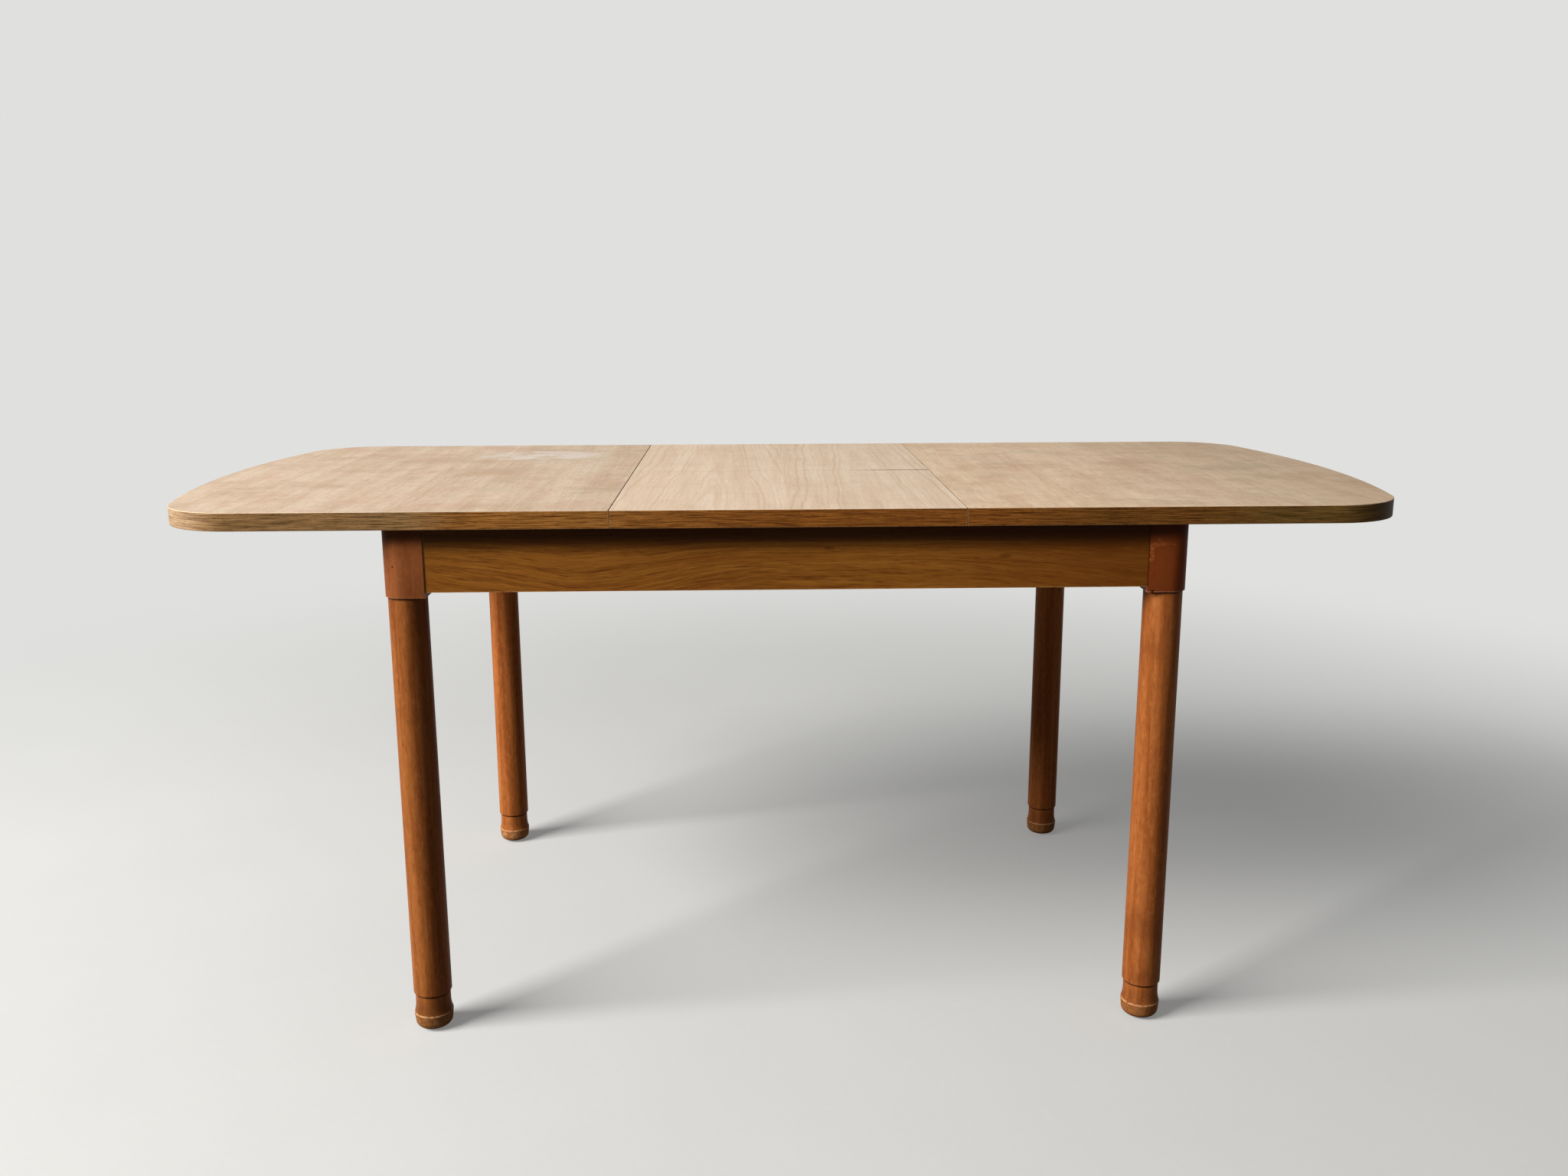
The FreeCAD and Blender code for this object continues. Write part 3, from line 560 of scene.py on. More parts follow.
post_inner_x = 0.4715
apron_bottom = 0.63
post_stain, place, shader = new_finish("post_stain", Specular_IOR_Level=stained_gloss)
x, y, z = place.parts()
soft = place.cloud((60, 60, 6), 4, 0.6)
fibre = place.cloud((700, 700, 30), 3, 0.6)
rubs = place.cloud((30, 30, 700), 2, 0.5)
worn_stain = place.cloud((150, 150, 90), 4, 0.7)
hazy = place.cloud(38, 4, 0.6)
ragged = place.cloud(240, 4, 0.65)
scraped = place.cloud((170, 170, 240), 6, 0.72)
# right_side marks the right posts, coloured darker as painted shade of the light falling off to the right; it
# also makes their worn rim paler
right_side = x.between(0.3, 0.4)
front_only = 1 - y.between(-0.345, -0.335)
# The front right post is scraped bare at its top and inner edge, with a curved scratch, and chipped
# at its foot. The front left post has a dent
bow = z - 0.687 + 14.0 * (x - 0.496) ** 2.0
scratch = 1 - abs(bow + (ragged - 0.5) * 0.003).between(0.0002, 0.0016)
scratch = scratch * x.between(0.474, 0.48) * (1 - x.between(0.508, 0.514))
bare = patch(x, 0.485, 0.014, z, 0.689, 0.007).between(0, 0.9)
bare = (bare * scraped.between(0.45, 0.62)).most(scratch * ragged.between(0.36, 0.6) * 0.8)
bare_edge = patch(x, 0.4745, 0.005, z, 0.675, 0.017).between(0, 0.7)
bare = bare.most(bare_edge * scraped.between(0.42, 0.6)) * front_only
chip = patch(x, 0.479, 0.003, z, 0.6238, 0.002).between(0, 0.4) * front_only
dent = patch(x, -0.512, 0.0012, z, 0.6642, 0.002).between(0, 0.4) * front_only
dark_spots = chip.most(dent)
# Painted shade: a dark line at the joint between post and apron
joint_shade = 1 - abs(x).between(post_inner_x + 0.0005, post_inner_x + 0.0013)
joint_shade = joint_shade * z.between(apron_bottom - 0.0005, apron_bottom)
outer_side = abs(y).between(0.342, 0.348).most(abs(x).between(0.508, 0.514))
rim = 1 - z.between(post_bottom + 0.0006, post_bottom + 0.0016)
worn_rim = rim * ragged.between(0.36, 0.5) * outer_side
colour = soft.between(0.3, 0.7).blend((154, 90, 49), (132, 73, 38)).covered(
    (fibre.between(0.5, 0.75), 0.25, (104, 50, 24)),
    (worn_stain.between(0.52, 0.68), 0.3, (112, 52, 22)),
    (worn_stain.between(0.46, 0.32), 0.3, (178, 106, 58)),
    (rubs.between(0.62, 0.78), 0.18, (190, 122, 78)),
    (hazy.between(0.5, 0.75), 0.35, (146, 92, 56)),
    (right_side, 0.75, (114, 46, 8)),
    # Painted shadow of the table top along the top of the posts
    (z.between(0.688, 0.705), 0.72, (34, 13, 4)),
    (bare, 0.45, (188, 112, 52)),
    (dark_spots, 0.85, (44, 18, 8)),
    (joint_shade, 0.8, (30, 12, 5)),
    (worn_rim, 0.16 + 0.3 * right_side, (206, 150, 112)))
height = fibre * 0.5 + rubs * 0.4 - bare * 0.6 - dark_spots * 2.5
dress(shader, colour, 0.4 + 0.2 * hazy + 0.15 * bare, height, 0.4, 0.0004)
for corner in corners:
    softened(corner + "_post", 0.0008, post_stain)


# Aprons along the table and end rails across it: boards faced with teak veneer, dowelled and glued
# between the posts a millimetre behind their faces. The end rails are notched for the runners.
def teak_face(name, lengthwise):
    """Teak veneer with its grain along X on the aprons or along Y on the end rails."""
    finish, place, shader = new_finish(name, Specular_IOR_Level=stained_gloss)
    x, y, z = place.parts()
    along, through = (x, y) if lengthwise == "X" else (y, x)
    grain = place.vector(z, along, through)
    waves = grain.cloud((9, 2.6, 4), 3, 0.55) - 0.5
    ripple = grain.cloud((60, 9, 10), 2, 0.5) - 0.5
    # The grain dips to a point low on the left, climbs to the middle and falls again to the right.
    # It is flat along the top edge
    rise = 0.0
    if lengthwise == "X":
        dip = 0.2 * (-0.29 - along).most(0.0)
        climb = 0.036 * along.between(-0.29, -0.02) - 0.036 * along.between(0.2, 0.5)
        rise = (dip + climb) * (1 - z.between(0.655, 0.712))
    flow = place.vector(z - rise + waves * 0.03 + ripple * 0.003, along, through)
    figure = flow.cloud((150, 3.5, 4), 4, 0.62)
    dashes = flow.cloud((520, 30, 4), 3, 0.6)
    fibre = grain.cloud((1500, 16, 1500), 3, 0.6)
    pores = grain.cloud((1300, 55, 1300), 1, 0.5).between(0.62, 0.72)
    patches = grain.cloud((16, 4, 14), 3, 0.5)
    colour = patches.between(0.3, 0.7).blend((150, 93, 32), (131, 78, 25)).covered(
        (figure.between(0.48, 0.64), 0.6, (110, 60, 18)),
        (figure.between(0.46, 0.34), 0.5, (168, 110, 44)),
        (dashes.between(0.54, 0.66), 0.6, (86, 44, 12)),
        (dashes.between(0.45, 0.34), 0.4, (172, 116, 50)),
        (fibre.between(0.45, 0.75), 0.25, (104, 58, 18)),
        (pores, 0.3, (80, 42, 14)))
    worn = grain.cloud(140, 3, 0.6).between(0.32, 0.52)
    bare = (1 - z.between(apron_bottom + 0.0004, apron_bottom + 0.0012)) * worn
    if lengthwise == "X":
        left_knot = patch(x, 0.053, 0.006, z, 0.6848, 0.0022)
        right_knot = patch(x, 0.283, 0.007, z, 0.6728, 0.0026)
        colour = colour.covered(
            (left_knot.between(-1.5, 0.8), 0.5, (70, 36, 12)),
            (right_knot.between(-1.5, 0.8), 0.5, (70, 36, 12)),
            # The right part of the aprons is darker: painted shade of the light falling off towards the right
            (x.between(0.12, 0.45), 0.62, (104, 54, 11)))
        # A pale arris at the aprons' left ends only: partly wear, partly a painted highlight where the arris
        # catches the light
        end_rub_and_highlight = abs(x).between(post_inner_x - 0.0015, post_inner_x - 0.0007) * worn
        bare = bare.most(end_rub_and_highlight * (1 - x.between(0.2, 0.3)))
    # The strip close under the top is darker: painted shadow of the top's overhang
    colour = colour.covered((z.between(0.676, 0.7), 0.8, (34, 13, 4)), (bare, 0.6, (196, 148, 96)))
    roughness = 0.42 + 0.16 * patches + 0.1 * pores + 0.1 * bare
    dress(shader, colour, roughness, fibre * 0.5 - pores * 0.8 - dashes * 0.4, 0.3)
    return finish


apron_teak = teak_face("apron_teak_veneer", "X")
end_teak = teak_face("end_rail_teak_veneer", "Y")
for node in ("front_apron", "rear_apron"):
    softened(node, 0.0006, apron_teak)
for node in ("left_end_rail", "right_end_rail"):
    softened(node, 0.0006, end_teak)


# Dowels between the rails and the posts: plain beech pegs with glue flutes and eased ends, two at
# each end of a rail. The joints are closed, so they show only where a rail is taken off.
def rings_of(across, along, depth, heart, ring, slope):
    """Growth rings where a board cuts a log that tapers: straight at the sides, pointed arches over
    the heart. The result is soft noise from 0 to 1 that is the same along each ring."""
    off = across - heart
    distance = (off * off + depth * depth) ** 0.5 + along * slope
    sockets = {"W": distance / ring, "Scale": 1.0, "Detail": 2.5, "Roughness": 0.6}
    return off.node("ShaderNodeTexNoise", sockets, noise_dimensions="1D")


def plain_timber(name, lengthwise, pale, dark, ring, fleck_strength):
    """Unstained timber with its grain along one axis."""
    finish, place, shader = new_finish(name)
    x, y, z = place.parts()
    across, along, through = {"X": (z, x, y), "Y": (x, y, z), "Z": (x, z, y)}[lengthwise]
    grain = place.vector(across, along, through)
    waves = grain.cloud((12, 2, 12), 3, 0.5) - 0.5
    figure = rings_of(across + waves * 0.02, along, 0.03, 0.4, ring, 0.02)
    fibre = grain.cloud((1200, 12, 1200), 3, 0.6)
    flecks = grain.cloud((900, 160, 500), 1, 0.5).between(0.6, 0.7)
    dust = place.cloud(22, 4, 0.6)
    colour = figure.between(0.35, 0.7).blend(pale, dark).covered(
        (fibre.between(0.45, 0.75), 0.4, dark),
        (flecks, fleck_strength, (128, 92, 62)),
        (dust.between(0.55, 0.8), 0.4, (122, 104, 86)))
    dress(shader, colour, 0.6 + 0.15 * dust, fibre * 0.7 + figure * 0.2 - flecks * 0.3, 0.35)
    return finish


def axis_spots(node):
    """Start and direction of each separate straight fastener of a CAD node. It lies along its longest
    side and points up, or away from the table's middle."""
    work = bmesh.new()
    work.from_mesh(frame["nodes"][node].data)
    bmesh.ops.remove_doubles(work, verts=work.verts, dist=1e-6)
    waiting = set(work.verts)
    spots = []
    while waiting:
        found = [waiting.pop()]
        for vert in found:
            near = {edge.other_vert(vert) for edge in vert.link_edges} & waiting
            waiting -= near
            found += near
        low, high = [Vector([pick(v.co[k] for v in found) for k in range(3)]) for pick in (min, max)]
        k = max(range(3), key=lambda axis: high[axis] - low[axis])
        start_place = (low + high) / 2
        way = 1 if k == 2 or start_place[k] > 0 else -1
        start_place[k] = low[k] if way > 0 else high[k]
        direction = Vector((0, 0, 0))
        direction[k] = way
        spots.append(([round(value, 4) for value in low], (start_place, direction)))
    work.free()
    return [found for corner, found in sorted(spots, key=lambda spot: spot[0])]


beech_peg = plain_timber("plain_beech_peg", "Z", (216, 182, 142), (190, 150, 108), 0.003, 0.5)
dowel_radius = 0.004
dowel_length = 0.036
dowel_ease = 0.0014
flute_rise = (dowel_length - 2 * dowel_ease) / 16
dowel_tip = dowel_radius - 0.001
dowel_profile = [(0.0, 0.0), (dowel_tip, 0.0), (dowel_radius, dowel_ease)]
dowel_profile += [(dowel_radius - 0.00025 * (k % 2), dowel_ease + flute_rise * k) for k in range(1, 16)]
dowel_profile += [(dowel_radius, dowel_length - dowel_ease), (dowel_tip, dowel_length), (0.0, dowel_length)]
dowel = turned("rail_dowel", dowel_profile, 20, beech_peg)
placed("rail_dowels", dowel, axis_spots("rail_dowels"))


# Corner brackets: pressed steel plates across the inside of each corner, screwed to both rails. A
# hanger bolt runs from the leg's spigot through the plate, and a washer and nut draw the leg tight.
zinc = metal("zinc_plated_steel", (196, 198, 196), (142, 142, 136), (120, 84, 54), 0.3)
bracket_level = 0.6715
bracket_face = 0.03488
for corner in corners:
    softened(corner + "_bracket", 0.0004, zinc)
bolt_in_leg = 0.008
bolt_length = 0.05698
thread_start = 0.0308
bolt_radius = 0.004
bolt_profile = [(0.0, 0.0), (0.0012, 0.0), (bolt_radius, 0.0035)]
bolt_profile += [(bolt_radius, 0.005 + 0.0016 * k) for k in range(16)]
bolt_profile += [(bolt_radius, thread_start + 0.0002 + 0.00025 * k) for k in range(98)]
bolt_profile += [(0.0036, 0.056), (0.0032, bolt_length), (0.0, bolt_length)]
bolt = turned("hanger_bolt", bolt_profile, 32, zinc, Thread_Pitch=0.00125, Thread_Depth=0.0006,
              Thread_From=thread_start)
washer_thickness = 0.0016
bolt_spots, washer_spots, nut_spots = [], [], []
for sx, sy in corners.values():
    axis_point = Vector((sx * leg_x, sy * leg_y, bracket_level))
    way = Vector((-sx, -sy, 0)).normalized()
    bolt_spots.append((axis_point - way * bolt_in_leg, way))
    washer_spots.append((axis_point + way * bracket_face, way))
    nut_spots.append((axis_point + way * (bracket_face + washer_thickness), way))
placed("hanger_bolts", bolt, bolt_spots)
washer_ring = [(0.00405, 0.0), (0.0098, 0.0), (0.01, 0.0002), (0.01, 0.0014), (0.0098, washer_thickness),
               (0.00405, washer_thickness)]
washer = turned("hanger_washer", washer_ring + washer_ring[:1], 48, zinc)
placed("hanger_washers", washer, washer_spots)


def hexagon_nut(name, across_flats, height, hole, finish):
    """A nut: a hexagon with chamfered corners and a countersunk hole."""
    sides = 48
    bevel = height * 0.11
    corner_reach = across_flats / 2 * 1.155
    sunk = 0.0004
    turns = [math.tau * k / sides for k in range(sides)]
    rings = []
    for level, trim in ((0.0, 0.93), (bevel, 1.0), (height - bevel, 1.0), (height, 0.93)):
        flats = [across_flats / 2 / math.cos((turn % (math.pi / 3)) - math.pi / 6) for turn in turns]
        rings.append([(min(reach, corner_reach * trim), turn, level) for reach, turn in zip(flats, turns)])
    for level, size in ((height, hole * 1.1), (height - sunk, hole), (sunk, hole), (0.0, hole * 1.1)):
        rings.append([(size, turn, level) for turn in turns])
    work = bmesh.new()
    loops = [[work.verts.new((r * math.cos(a), r * math.sin(a), z)) for r, a, z in ring] for ring in rings]
    for here, there in zip(loops, loops[1:] + loops[:1]):
        for k in range(sides):
            nxt = (k + 1) % sides
            work.faces.new((here[k], here[nxt], there[nxt], there[k]))
    bmesh.ops.recalc_face_normals(work, faces=work.faces)
    return meshed(work, name, finish)


nut = hexagon_nut("hanger_nut", across_flats=0.013, height=0.0065, hole=0.00405, finish=zinc)
placed("hanger_nuts", nut, nut_spots, seed=4)


def wood_screw(name, shank, head, head_height, length, domed=False):
    """A slotted steel screw that points up: flat head with its face at 0, or domed head below 0."""
    thread = 0.0018
    rim = 0.0001
    if domed:
        crown = head * 0.56
        profile = [(0.0, -head_height)] + bend((0.0, -head_height + crown), crown, -90, -52, 4)[1:]
        profile += [(head / 2, -head_height * 0.35), (head / 2, -rim), (head / 2 - rim, 0.0)]
        profile += [(shank / 2, 0.0)]
        slot_floor = -head_height * 0.45
    else:
        profile = [(0.0, 0.0), (head / 2, 0.0), (head / 2, 2 * rim), (shank / 2, head_height)]
        slot_floor = head_height * 0.4
    smooth_end = length * 0.35
    rows = int((length - shank - smooth_end) / (thread / 4))
    profile += [(shank / 2, smooth_end + k * thread / 4) for k in range(rows + 1)]
    profile += [(shank / 4, length - shank / 3), (0.0, length)]
    return turned(name, profile, 16, zinc, Thread_Pitch=thread, Thread_Depth=0.0006,
                  Thread_From=smooth_end + thread / 8, Slotted=True, Slot_Width=0.0011, Slot_Floor=slot_floor)


bracket_screw = wood_screw("bracket_screw", shank=0.0038, head=0.0076, head_height=0.0022, length=0.013,
                           domed=True)
# Two screws go outwards through each flange of a bracket, their heads against its inner face
bracket_spots = []
rail_face = 0.0085
flange_thickness = 0.002
seat = rail_face - flange_thickness
flange_reach = 0.066
screw_rise = 0.0154
for sx, sy in corners.values():
    for level in (bracket_level - screw_rise, bracket_level + screw_rise):
        bracket_spots.append(((sx * (leg_x - flange_reach), sy * (leg_y + seat), level), (0, sy, 0)))
        bracket_spots.append(((sx * (leg_x + seat), sy * (leg_y - flange_reach), level), (sx, 0, 0)))
placed("bracket_screws", bracket_screw, bracket_spots, seed=7)


# The leaf well: two pine bearers across the frame under the guides, held up by pine blocks glued and
# screwed to the aprons. The folded leaf lies on them when the table is small.
pine_across = plain_timber("bearer_pine", "Y", (222, 188, 132), (188, 142, 86), 0.006, 0.15)
pine_block = plain_timber("block_pine", "X", (224, 192, 138), (190, 146, 90), 0.006, 0.15)
softened("left_bearer", 0.0007, pine_across)
softened("right_bearer", 0.0007, pine_across)
softened("bearer_blocks", 0.0007, pine_block)
long_shank = {"shank": 0.0044, "head": 0.0086, "head_height": 0.003}
long_screw = wood_screw("long_screw", length=0.0325, **long_shank)
placed("bearer_screws", long_screw, axis_spots("bearer_screws"), seed=11)
block_screw = wood_screw("block_screw", length=0.0425, **long_shank)
placed("block_screws", block_screw, axis_spots("block_screws"), seed=13)


# The sliding gear: a beech guide down each side of the well, grooved on both faces, and a beech runner
# in each groove. The left half top rides on the inner pair and the right half top on the outer pair.
beech = plain_timber("plain_beech_long", "X", (214, 178, 136), (184, 142, 100), 0.0035, 0.5)
for node in ("front_guide", "rear_guide"):
    softened(node, 0.0006, beech)
runner_screw = wood_screw("runner_screw", length=0.0335, **long_shank)
peg_profile = [(0.0, 0.0), (0.0034, 0.0), (0.004, 0.0008), (0.004, 0.0252), (0.0034, 0.026), (0.0, 0.026)]
stop_peg = turned("stop_peg", peg_profile, 32, beech_peg)
for side in ("left", "right"):
    softened(side + "_front_runner", 0.0007, beech)
    softened(side + "_rear_runner", 0.0007, beech)
    placed(side + "_runner_screws", runner_screw, axis_spots(side + "_runner_screws"), seed=17)
    placed(side + "_stop_pegs", stop_peg, axis_spots(side + "_stop_pegs"))


# The boards of the top: a particle board core with a backing veneer below, a pale figured veneer above
# and a lipping round the edge. The half tops have bowed ends; the leaf is straight and folds in two.
top_level = 0.74
veneer_level = 0.7392
under_level = 0.716
half_depth = 0.383
bow_radius = 1.4
corner_radius = 0.105
bow_x = 0.848 - bow_radius
corner_y = half_depth - corner_radius
corner_x = bow_x + math.sqrt((bow_radius - corner_radius) ** 2 - corner_y ** 2)
corner_turn = math.atan2(corner_y, corner_x - bow_x)
seam_x = 0.2293
leaf_x = 0.2285
fold_y = 0.0004
edge_step = 0.004


def straight(start_point, end_point, whole_length):
    """Points from one corner up to the next, as many as the full size edge needs."""
    pieces = max(2, round(whole_length / edge_step))
    return [Vector(start_point).lerp(Vector(end_point), k / pieces) for k in range(pieces)]


def swept(middle, radius, from_turn, to_turn, whole_radius):
    """Points of an arc up to its end, as many as the full size edge needs."""
    pieces = max(8, round(abs(to_turn - from_turn) * whole_radius / edge_step))
    turns = [from_turn + (to_turn - from_turn) * k / pieces for k in range(pieces)]
    return [Vector((middle[0] + radius * math.cos(t), middle[1] + radius * math.sin(t))) for t in turns]


def half_top_edge(inset):
    """Plan points round the right half top, drawn in from its edge, from the front of the seam."""
    x, y = seam_x + inset, half_depth - inset
    run = corner_x - seam_x
    quarter = math.pi / 2
    points = straight((x, -y), (corner_x, -y), run)
    points += swept((corner_x, -corner_y), corner_radius - inset, -quarter, -corner_turn, corner_radius)
    points += swept((bow_x, 0.0), bow_radius - inset, -corner_turn, corner_turn, bow_radius)
    points += swept((corner_x, corner_y), corner_radius - inset, corner_turn, quarter, corner_radius)
    points += straight((corner_x, y), (x, y), run)
    points += straight((x, y), (x, -y), 2 * half_depth)
    return points


def leaf_edge(inset):
    """Plan points round the rear half of the leaf, drawn in from its edge."""
    x, near, far = leaf_x - inset, fold_y + inset, half_depth - inset
    wide, deep = 2 * leaf_x, half_depth
    return (straight((-x, near), (x, near), wide) + straight((x, near), (x, far), deep)
            + straight((x, far), (-x, far), wide) + straight((-x, far), (-x, near), deep))


def arris_wear(seed, length, chips):
    """How far the arris is worn back along its run: a slight wave everywhere, and a few chips."""
    chance = random.Random(seed)
    dents = [(chance.uniform(0, length), chance.uniform(0.001, 0.003), chance.uniform(0.0002, 0.0006))
             for k in range(chips)]

    def depth(run):
        worn = 0.00012 * (1 + noise.noise(Vector((run * 90, seed * 7.3, 0))))
        for place, reach, deep in dents:
            far = abs(run - place) / reach
            if far < 1:
                worn += deep * (1 - far * far)
        return worn

    return depth


def edge_piece(name, edge, rings, capped, wear, finish):
    """A closed shape from rings of (inset, level, share of the wear), with runs for its grain in a UV
    map. Capped shapes are sheets; others close back on their first ring."""
    full = edge(0.0)
    runs = [0.0]
    for here, there in zip(full, full[1:] + full[:1]):
        runs.append(runs[-1] + (there - here).length)
    inwards = 0.001
    work = bmesh.new()
    grain = work.loops.layers.uv.new("grain")
    loops = []
    for inset, level, share in rings:
        loop = []
        for run, point, inner in zip(runs, edge(inset), edge(inset + inwards)):
            place = point + (inner - point) * (share * wear(run) / inwards if share else 0.0)
            loop.append(work.verts.new((place.x, place.y, level)))
        loops.append((loop, level))
    pairs = list(zip(loops, loops[1:])) + ([] if capped else [(loops[-1], loops[0])])
    for (lower, low_level), (upper, high_level) in pairs:
        for k in range(len(lower)):
            nxt = (k + 1) % len(lower)
            face = work.faces.new((lower[k], lower[nxt], upper[nxt], upper[k]))
            face.smooth = True
            for corner, uv in zip(face.loops, ((runs[k], low_level), (runs[k + 1], low_level),
                                               (runs[k + 1], high_level), (runs[k], high_level))):
                corner[grain].uv = uv
    if capped:
        work.faces.new(loops[0][0][::-1])
        work.faces.new(loops[-1][0])
    work.normal_update()
    for side in work.edges:
        side.smooth = side.calc_face_angle(0.0) < math.radians(60)
    return meshed(work, name, finish)


leaf_of_veneer = 0.228


def top_veneer(name, pale, tan, brown, joints, mottled, figured, marks):
    """Worn pale veneer in leaves side by side, grain across the table, joined at the given places.
    The marks are a function that adds what only this part of the table has."""
    finish, place, shader = new_finish(name, Specular_IOR_Level=0.11)
    x, y, z = place.parts()
    first = joints[0] - leaf_of_veneer
    leaf_number = sum(((x > joint) for joint in joints), 0.0 * x)
    steps = zip([first] + joints, joints)
    start_of_leaf = sum(((x > joint) * (joint - before) for before, joint in steps), 0.0 * x) + first
    drift = place.cloud((7, 2.2, 1), 3, 0.55) - 0.5
    local = x - start_of_leaf + drift * 0.05
    along = y + leaf_number * 0.37
    figure = rings_of(local, along, 0.01, 0.122, 0.0075, 0.042)
    grain = place.vector(x + leaf_number * 0.213, along, z)
    fibre = grain.cloud((800, 9, 1), 3, 0.6)
    dashes = grain.cloud((330, 17, 1), 4, 0.66)
    pores = grain.cloud((1100, 60, 1), 1, 0.5).between(0.6, 0.7)
    bands = grain.cloud((40, 1.6, 1), 3, 0.6)
    flecked = grain.cloud((210, 48, 1), 5, 0.72)
    stains = place.cloud((6, 9, 1), 5, 0.6)
    blots = place.cloud((21, 17, 1), 5, 0.68)
    rubbed = place.cloud((13, 30, 1), 4, 0.6)
    rosy = place.vector(x + 3.1, y - 1.7, z).cloud((16, 12, 1), 4, 0.6)
    grey = place.vector(x - 2.3, y + 4.1, z).cloud((9, 13, 1), 4, 0.6)
    colour = bands.between(0.3, 0.7).blend(pale, tan).covered(
        (figure.between(0.46, 0.7), figured, brown),
        (dashes.between(0.52, 0.68), 0.16 + mottled * 0.35, brown),
        (dashes.between(0.46, 0.32), 0.4, pale),
        (fibre.between(0.45, 0.75), 0.22, brown),
        (pores, 0.22, brown),
        (flecked.between(0.52, 0.68), 0.1 + mottled * 0.5, brown),
        (flecked.between(0.46, 0.34) * mottled, 0.8, (232, 210, 186)),
        (stains.between(0.48, 0.72), mottled, brown),
        (blots.between(0.52, 0.72) * mottled, 0.8, brown),
        (rosy.between(0.48, 0.66), mottled, (200, 160, 132)),
        (grey.between(0.5, 0.7), mottled, (186, 171, 143)),
        (rubbed.between(0.55, 0.75) * mottled, 0.7, (226, 204, 184)))
    for joint in joints[:-1] if mottled > 0.3 else []:
        line = 1 - abs(x - joint + (rubbed - 0.5) * 0.0004).between(0.0002, 0.0007)
        colour = colour.covered((line, 0.35, (150, 118, 88)))
    colour, extra = marks(place, x, y, colour)
    arris = 1 - z.between(top_level - 0.0005, top_level - 0.00005)
    in_seam = 1 - abs(abs(x) - seam_x).between(0.001, 0.0024)
    worn_arris = arris * place.cloud(160, 3, 0.6).between(0.3, 0.5) * (1 - in_seam * 0.9)
    colour = colour.covered((worn_arris, 0.65, (232, 206, 176)), (arris * in_seam, 0.75, (60, 36, 20)))
    roughness = 0.5 + 0.14 * stains + 0.08 * pores + 0.15 * extra
    dress(shader, colour, roughness, fibre * 0.4 - pores * 0.25 + stains * 0.3 + extra * 0.4, 0.22)
    return finish


def left_marks(place, x, y, colour):
    """A whitish scuff at the back of the left half top and drips beside it."""
    smear = place.cloud((17, 34, 1), 5, 0.7).between(0.38, 0.54)
    scuff = patch(x, -0.403, 0.12, y, 0.222, 0.082).between(0, 0.8) * smear
    drops = place.cloud(75, 1, 0.5).between(0.66, 0.7)
    drips = patch(x, -0.5, 0.06, y, 0.175, 0.03).between(0, 0.5) * drops
    scuffed = scuff.most(drips)
    return colour.covered((scuffed, 0.82, (228, 217, 206))), scuffed


def leaf_marks(place, x, y, colour):
    """A dark wisp on the leaf, and painted shade along its fold, most of it at the right end."""
    strokes = place.cloud((200, 900, 1), 2, 0.5).between(0.4, 0.6)
    wisp = patch(x, 0.1386, 0.009, y, -0.019, 0.0016).between(0, 0.5) * strokes
    # Painted shade of the open fold, darker towards the right end
    fold_shade_end = x.between(0.095, 0.15)
    fold_shade = 1 - (abs(y) - fold_shade_end * 0.0012).between(0.0012, 0.0026)
    marked = colour.covered((wisp, 0.7, (110, 72, 44)), (fold_shade, 0.24 + 0.65 * fold_shade_end, (84, 54, 34)))
    return marked, wisp


def right_marks(place, x, y, colour):
    """A small squiggle near the back of the right half top, and its far end darkened as painted shade."""
    line = y - 0.303 - 0.004 * x.math("SINE", (x - 0.245) * 320.0)
    squiggle = (1 - abs(line).between(0.0006, 0.0022)) * (1 - abs(x - 0.258).between(0.01, 0.016))
    marked = colour.covered((squiggle, 0.6, (126, 88, 58)))
    # The far end is darkened: painted shade of the light falling off to the right
    return x.between(0.4, 0.8).blend(marked, (231, 230, 228), "MULTIPLY"), squiggle


left_finish = top_veneer("left_top_face", (222, 200, 176), (207, 181, 154), (170, 136, 104),
                         [-0.685, -0.457, -seam_x], 0.4, 0.08, left_marks)
leaf_finish = top_veneer("leaf_face", (237, 215, 191), (226, 201, 174), (194, 158, 125),
                         [0.0005, seam_x], 0.12, 0.32, leaf_marks)
right_finish = top_veneer("right_top_face", (239, 213, 182), (227, 197, 164), (180, 141, 104),
                          [0.344, 0.631, 0.86], 0.36, 0.1, right_marks)


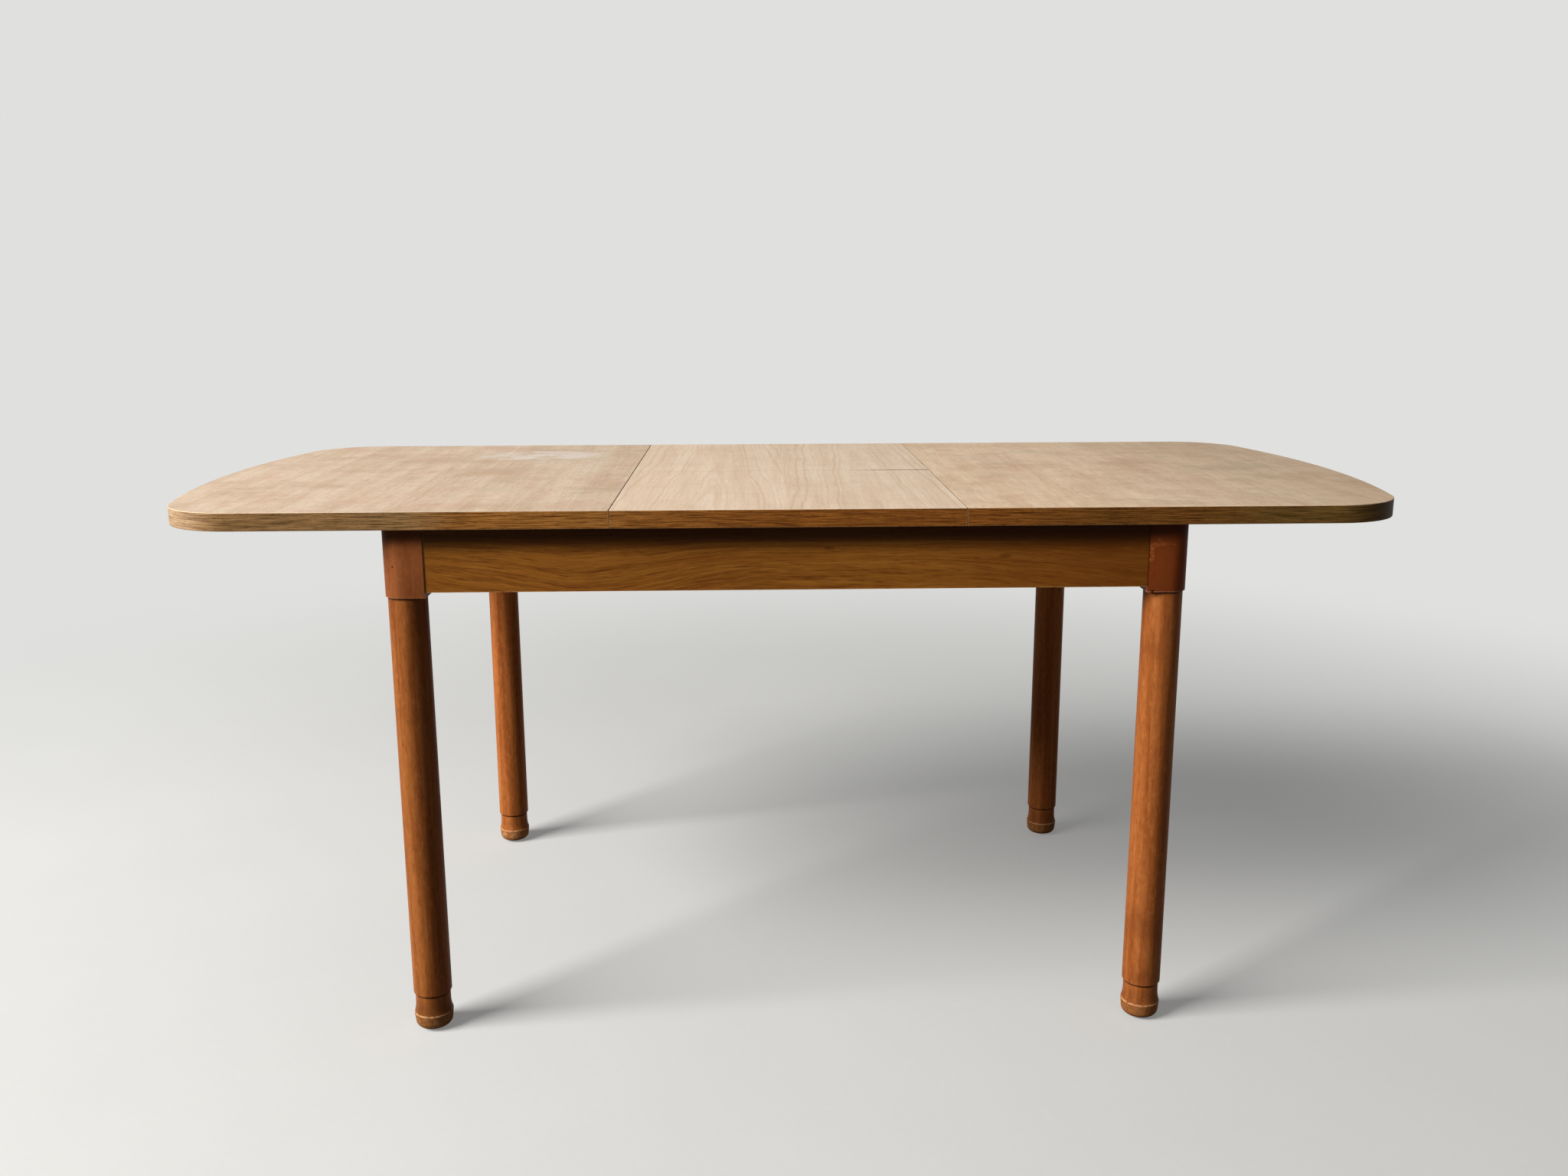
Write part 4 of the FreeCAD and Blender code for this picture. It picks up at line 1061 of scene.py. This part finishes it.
def edge_band(name, tones, changes, seam_places):
    """Lipping with its grain along the edge, worn pale at its arrises. Its light, middle and dark tones
    change along the table: faded pale at the left end, and darker towards the right end as painted shade."""
    finish, place, shader = new_finish(name, Specular_IOR_Level=0.05)
    run, level = place.node("ShaderNodeUVMap", uv_map="grain").parts()[:2]
    x, y, z = place.parts()
    band = place.vector(run, level, 0.0)
    drift = band.cloud((9, 40, 1), 2, 0.5) - 0.5
    wavy = place.vector(run, level + drift * 0.004, 0.0)
    streaks = wavy.cloud((18, 560, 1), 5, 0.7)
    lines = wavy.cloud((40, 1500, 1), 3, 0.6)
    flecks = wavy.cloud((150, 1700, 1), 1, 0.5).between(0.58, 0.68)
    patches = band.cloud((14, 60, 1), 3, 0.6)
    ragged = band.cloud((170, 900, 1), 3, 0.65)

    def toned(light, middle, dark):
        pale_streaks = streaks.between(0.38, 0.58).blend(light, middle)
        return pale_streaks.covered((streaks.between(0.52, 0.66), 0.9, dark))

    colour = toned(*tones)
    for start_x, end_x, next_tones in changes:
        colour = (x + (patches - 0.5) * 0.06).between(start_x, end_x).blend(colour, toned(*next_tones))
    low_rub = (1 - level.between(under_level + 0.0004, under_level + 0.0011)) * ragged.between(0.34, 0.5)
    high_rub = level.between(veneer_level - 0.0007, veneer_level - 0.0001) * ragged.between(0.42, 0.56)
    rub = low_rub.most(high_rub)
    for seam in seam_places:
        corner = 1 - abs(x - seam).between(0.0004, 0.001)
        corner = corner * abs(y).between(half_depth - 0.001, half_depth - 0.0005)
        rub = rub.most(corner * ragged.between(0.36, 0.52) * 0.8)
    colour = colour.covered(
        (lines.between(0.46, 0.3), 0.3, (150, 112, 66)),
        (lines.between(0.5, 0.68), 0.55, (60, 34, 14)),
        (flecks, 0.4, (46, 24, 9)),
        (rub, 0.7, (190, 148, 104)))
    dress(shader, colour, 0.46 + 0.15 * patches + 0.1 * rub, lines * 0.5 + streaks * 0.3 - flecks * 0.6, 0.3)
    return finish


# The light, middle and dark tones of the lipping, in the order in which they follow along the table
bleached = ((198, 167, 134), (170, 139, 107), (132, 101, 71))
olive = ((170, 130, 85), (126, 95, 57), (64, 42, 19))
brown = ((181, 121, 59), (134, 85, 34), (72, 39, 10))
leaf_brown = ((164, 100, 40), (122, 70, 25), (68, 35, 8))
deep_brown = ((138, 88, 38), (103, 63, 22), (54, 30, 8))
dull_brown = ((131, 98, 50), (98, 72, 32), (52, 35, 10))
dark_brown = ((73, 49, 22), (52, 35, 15), (33, 22, 9))
left_band = edge_band("left_edge_band", bleached, [(-0.8, -0.71, olive), (-0.5, -0.4, brown)], [-seam_x])
leaf_band = edge_band("leaf_edge_band", brown, [(-0.3, 0.0, leaf_brown)], [-leaf_x, leaf_x])
# Along the right half top the lipping darkens step by step to its curved end: painted shade of the light
# falling off
right_changes = [(0.24, 0.42, deep_brown), (0.5, 0.66, dull_brown), (0.748, 0.794, dark_brown)]
right_band = edge_band("right_edge_band", leaf_brown, right_changes, [seam_x])

core_backing, place, shader = new_finish("board_backing_veneer")
x, y, z = place.parts()
bands = place.cloud((40, 1.5, 1), 4, 0.6)
fibre = place.cloud((900, 10, 200), 3, 0.6)
chips = place.cloud(520, 3, 0.8)
stains = place.cloud(5, 5, 0.6)
backing = bands.between(0.3, 0.7).blend((158, 112, 72), (128, 86, 52)).covered(
    (fibre.between(0.45, 0.75), 0.4, (100, 64, 38)),
    (stains.between(0.55, 0.7), 0.3, (96, 68, 46)))
in_core = z.between(under_level + 0.0006, under_level + 0.0008)
board_chips = chips.between(0.35, 0.65).blend((200, 166, 120), (134, 98, 62))
roughness = 0.55 + 0.15 * stains + 0.15 * in_core
dress(shader, in_core.blend(backing, board_chips), roughness, fibre + chips * in_core, 0.3)

# Each ring of an edge: its inset, its level and its share of the wear
veneer_rings = [(0.0, veneer_level, 0.0), (0.0, 0.73955, 0.6), (0.00012, 0.73985, 1.0),
                (0.0005, top_level, 1.3)]
lipping_rings = [(0.0016, under_level, 0.0), (0.0008, under_level, 1.0), (0.00025, 0.71612, 0.9),
                 (0.0, 0.7165, 0.6), (0.0, 0.7176, 0.0), (0.0, veneer_level, 0.0),
                 (0.0016, veneer_level, 0.0)]
# The length of the stretch of each edge where its chips lie
half_top_run = 2.86
leaf_run = 1.68


def dressed_board(board, edge, run, ways, seeds, chips, looks):
    """A board's core, and its veneer and lipping turned over to their side of the table."""
    parts = (("_veneer", veneer_rings, True), ("_lipping", lipping_rings, False))
    for (part, rings, capped), seed, count, look in zip(parts, seeds, chips, looks):
        node = board + part
        mesh = edge_piece(node, edge, rings, capped, arris_wear(seed, run, count), look)
        mesh.transform(Matrix.Diagonal((*ways, 1, 1)))
        if -1 in ways:
            mesh.flip_normals()
        stands_for(node, mesh)
    softened(board + "_core", 0.0002, core_backing)


for side, way, looks in (("left", -1, (left_finish, left_band)), ("right", 1, (right_finish, right_band))):
    dressed_board(side + "_top", half_top_edge, half_top_run, (way, 1), (3 + way, 5 + way), (16, 22), looks)
for half, way in (("rear", 1), ("front", -1)):
    looks = (leaf_finish, leaf_band)
    dressed_board("leaf_" + half, leaf_edge, leaf_run, (1, way), (9 + way, 12 + way), (6, 8), looks)


# The hinges of the leaf: three brass barrels let into each half at the fold, with folding links on
# cross pins between them, so that the halves fold face to face and nothing shows when it is flat.
brass = metal("hinge_brass_metal", (214, 176, 98), (166, 128, 62), (104, 82, 44), 0.28)
for half in ("rear", "front"):
    for part, width in (("barrels", 0.0003), ("links", 0.0002), ("pins", 0.0001)):
        softened("leaf_" + half + "_hinge_" + part, width, brass)
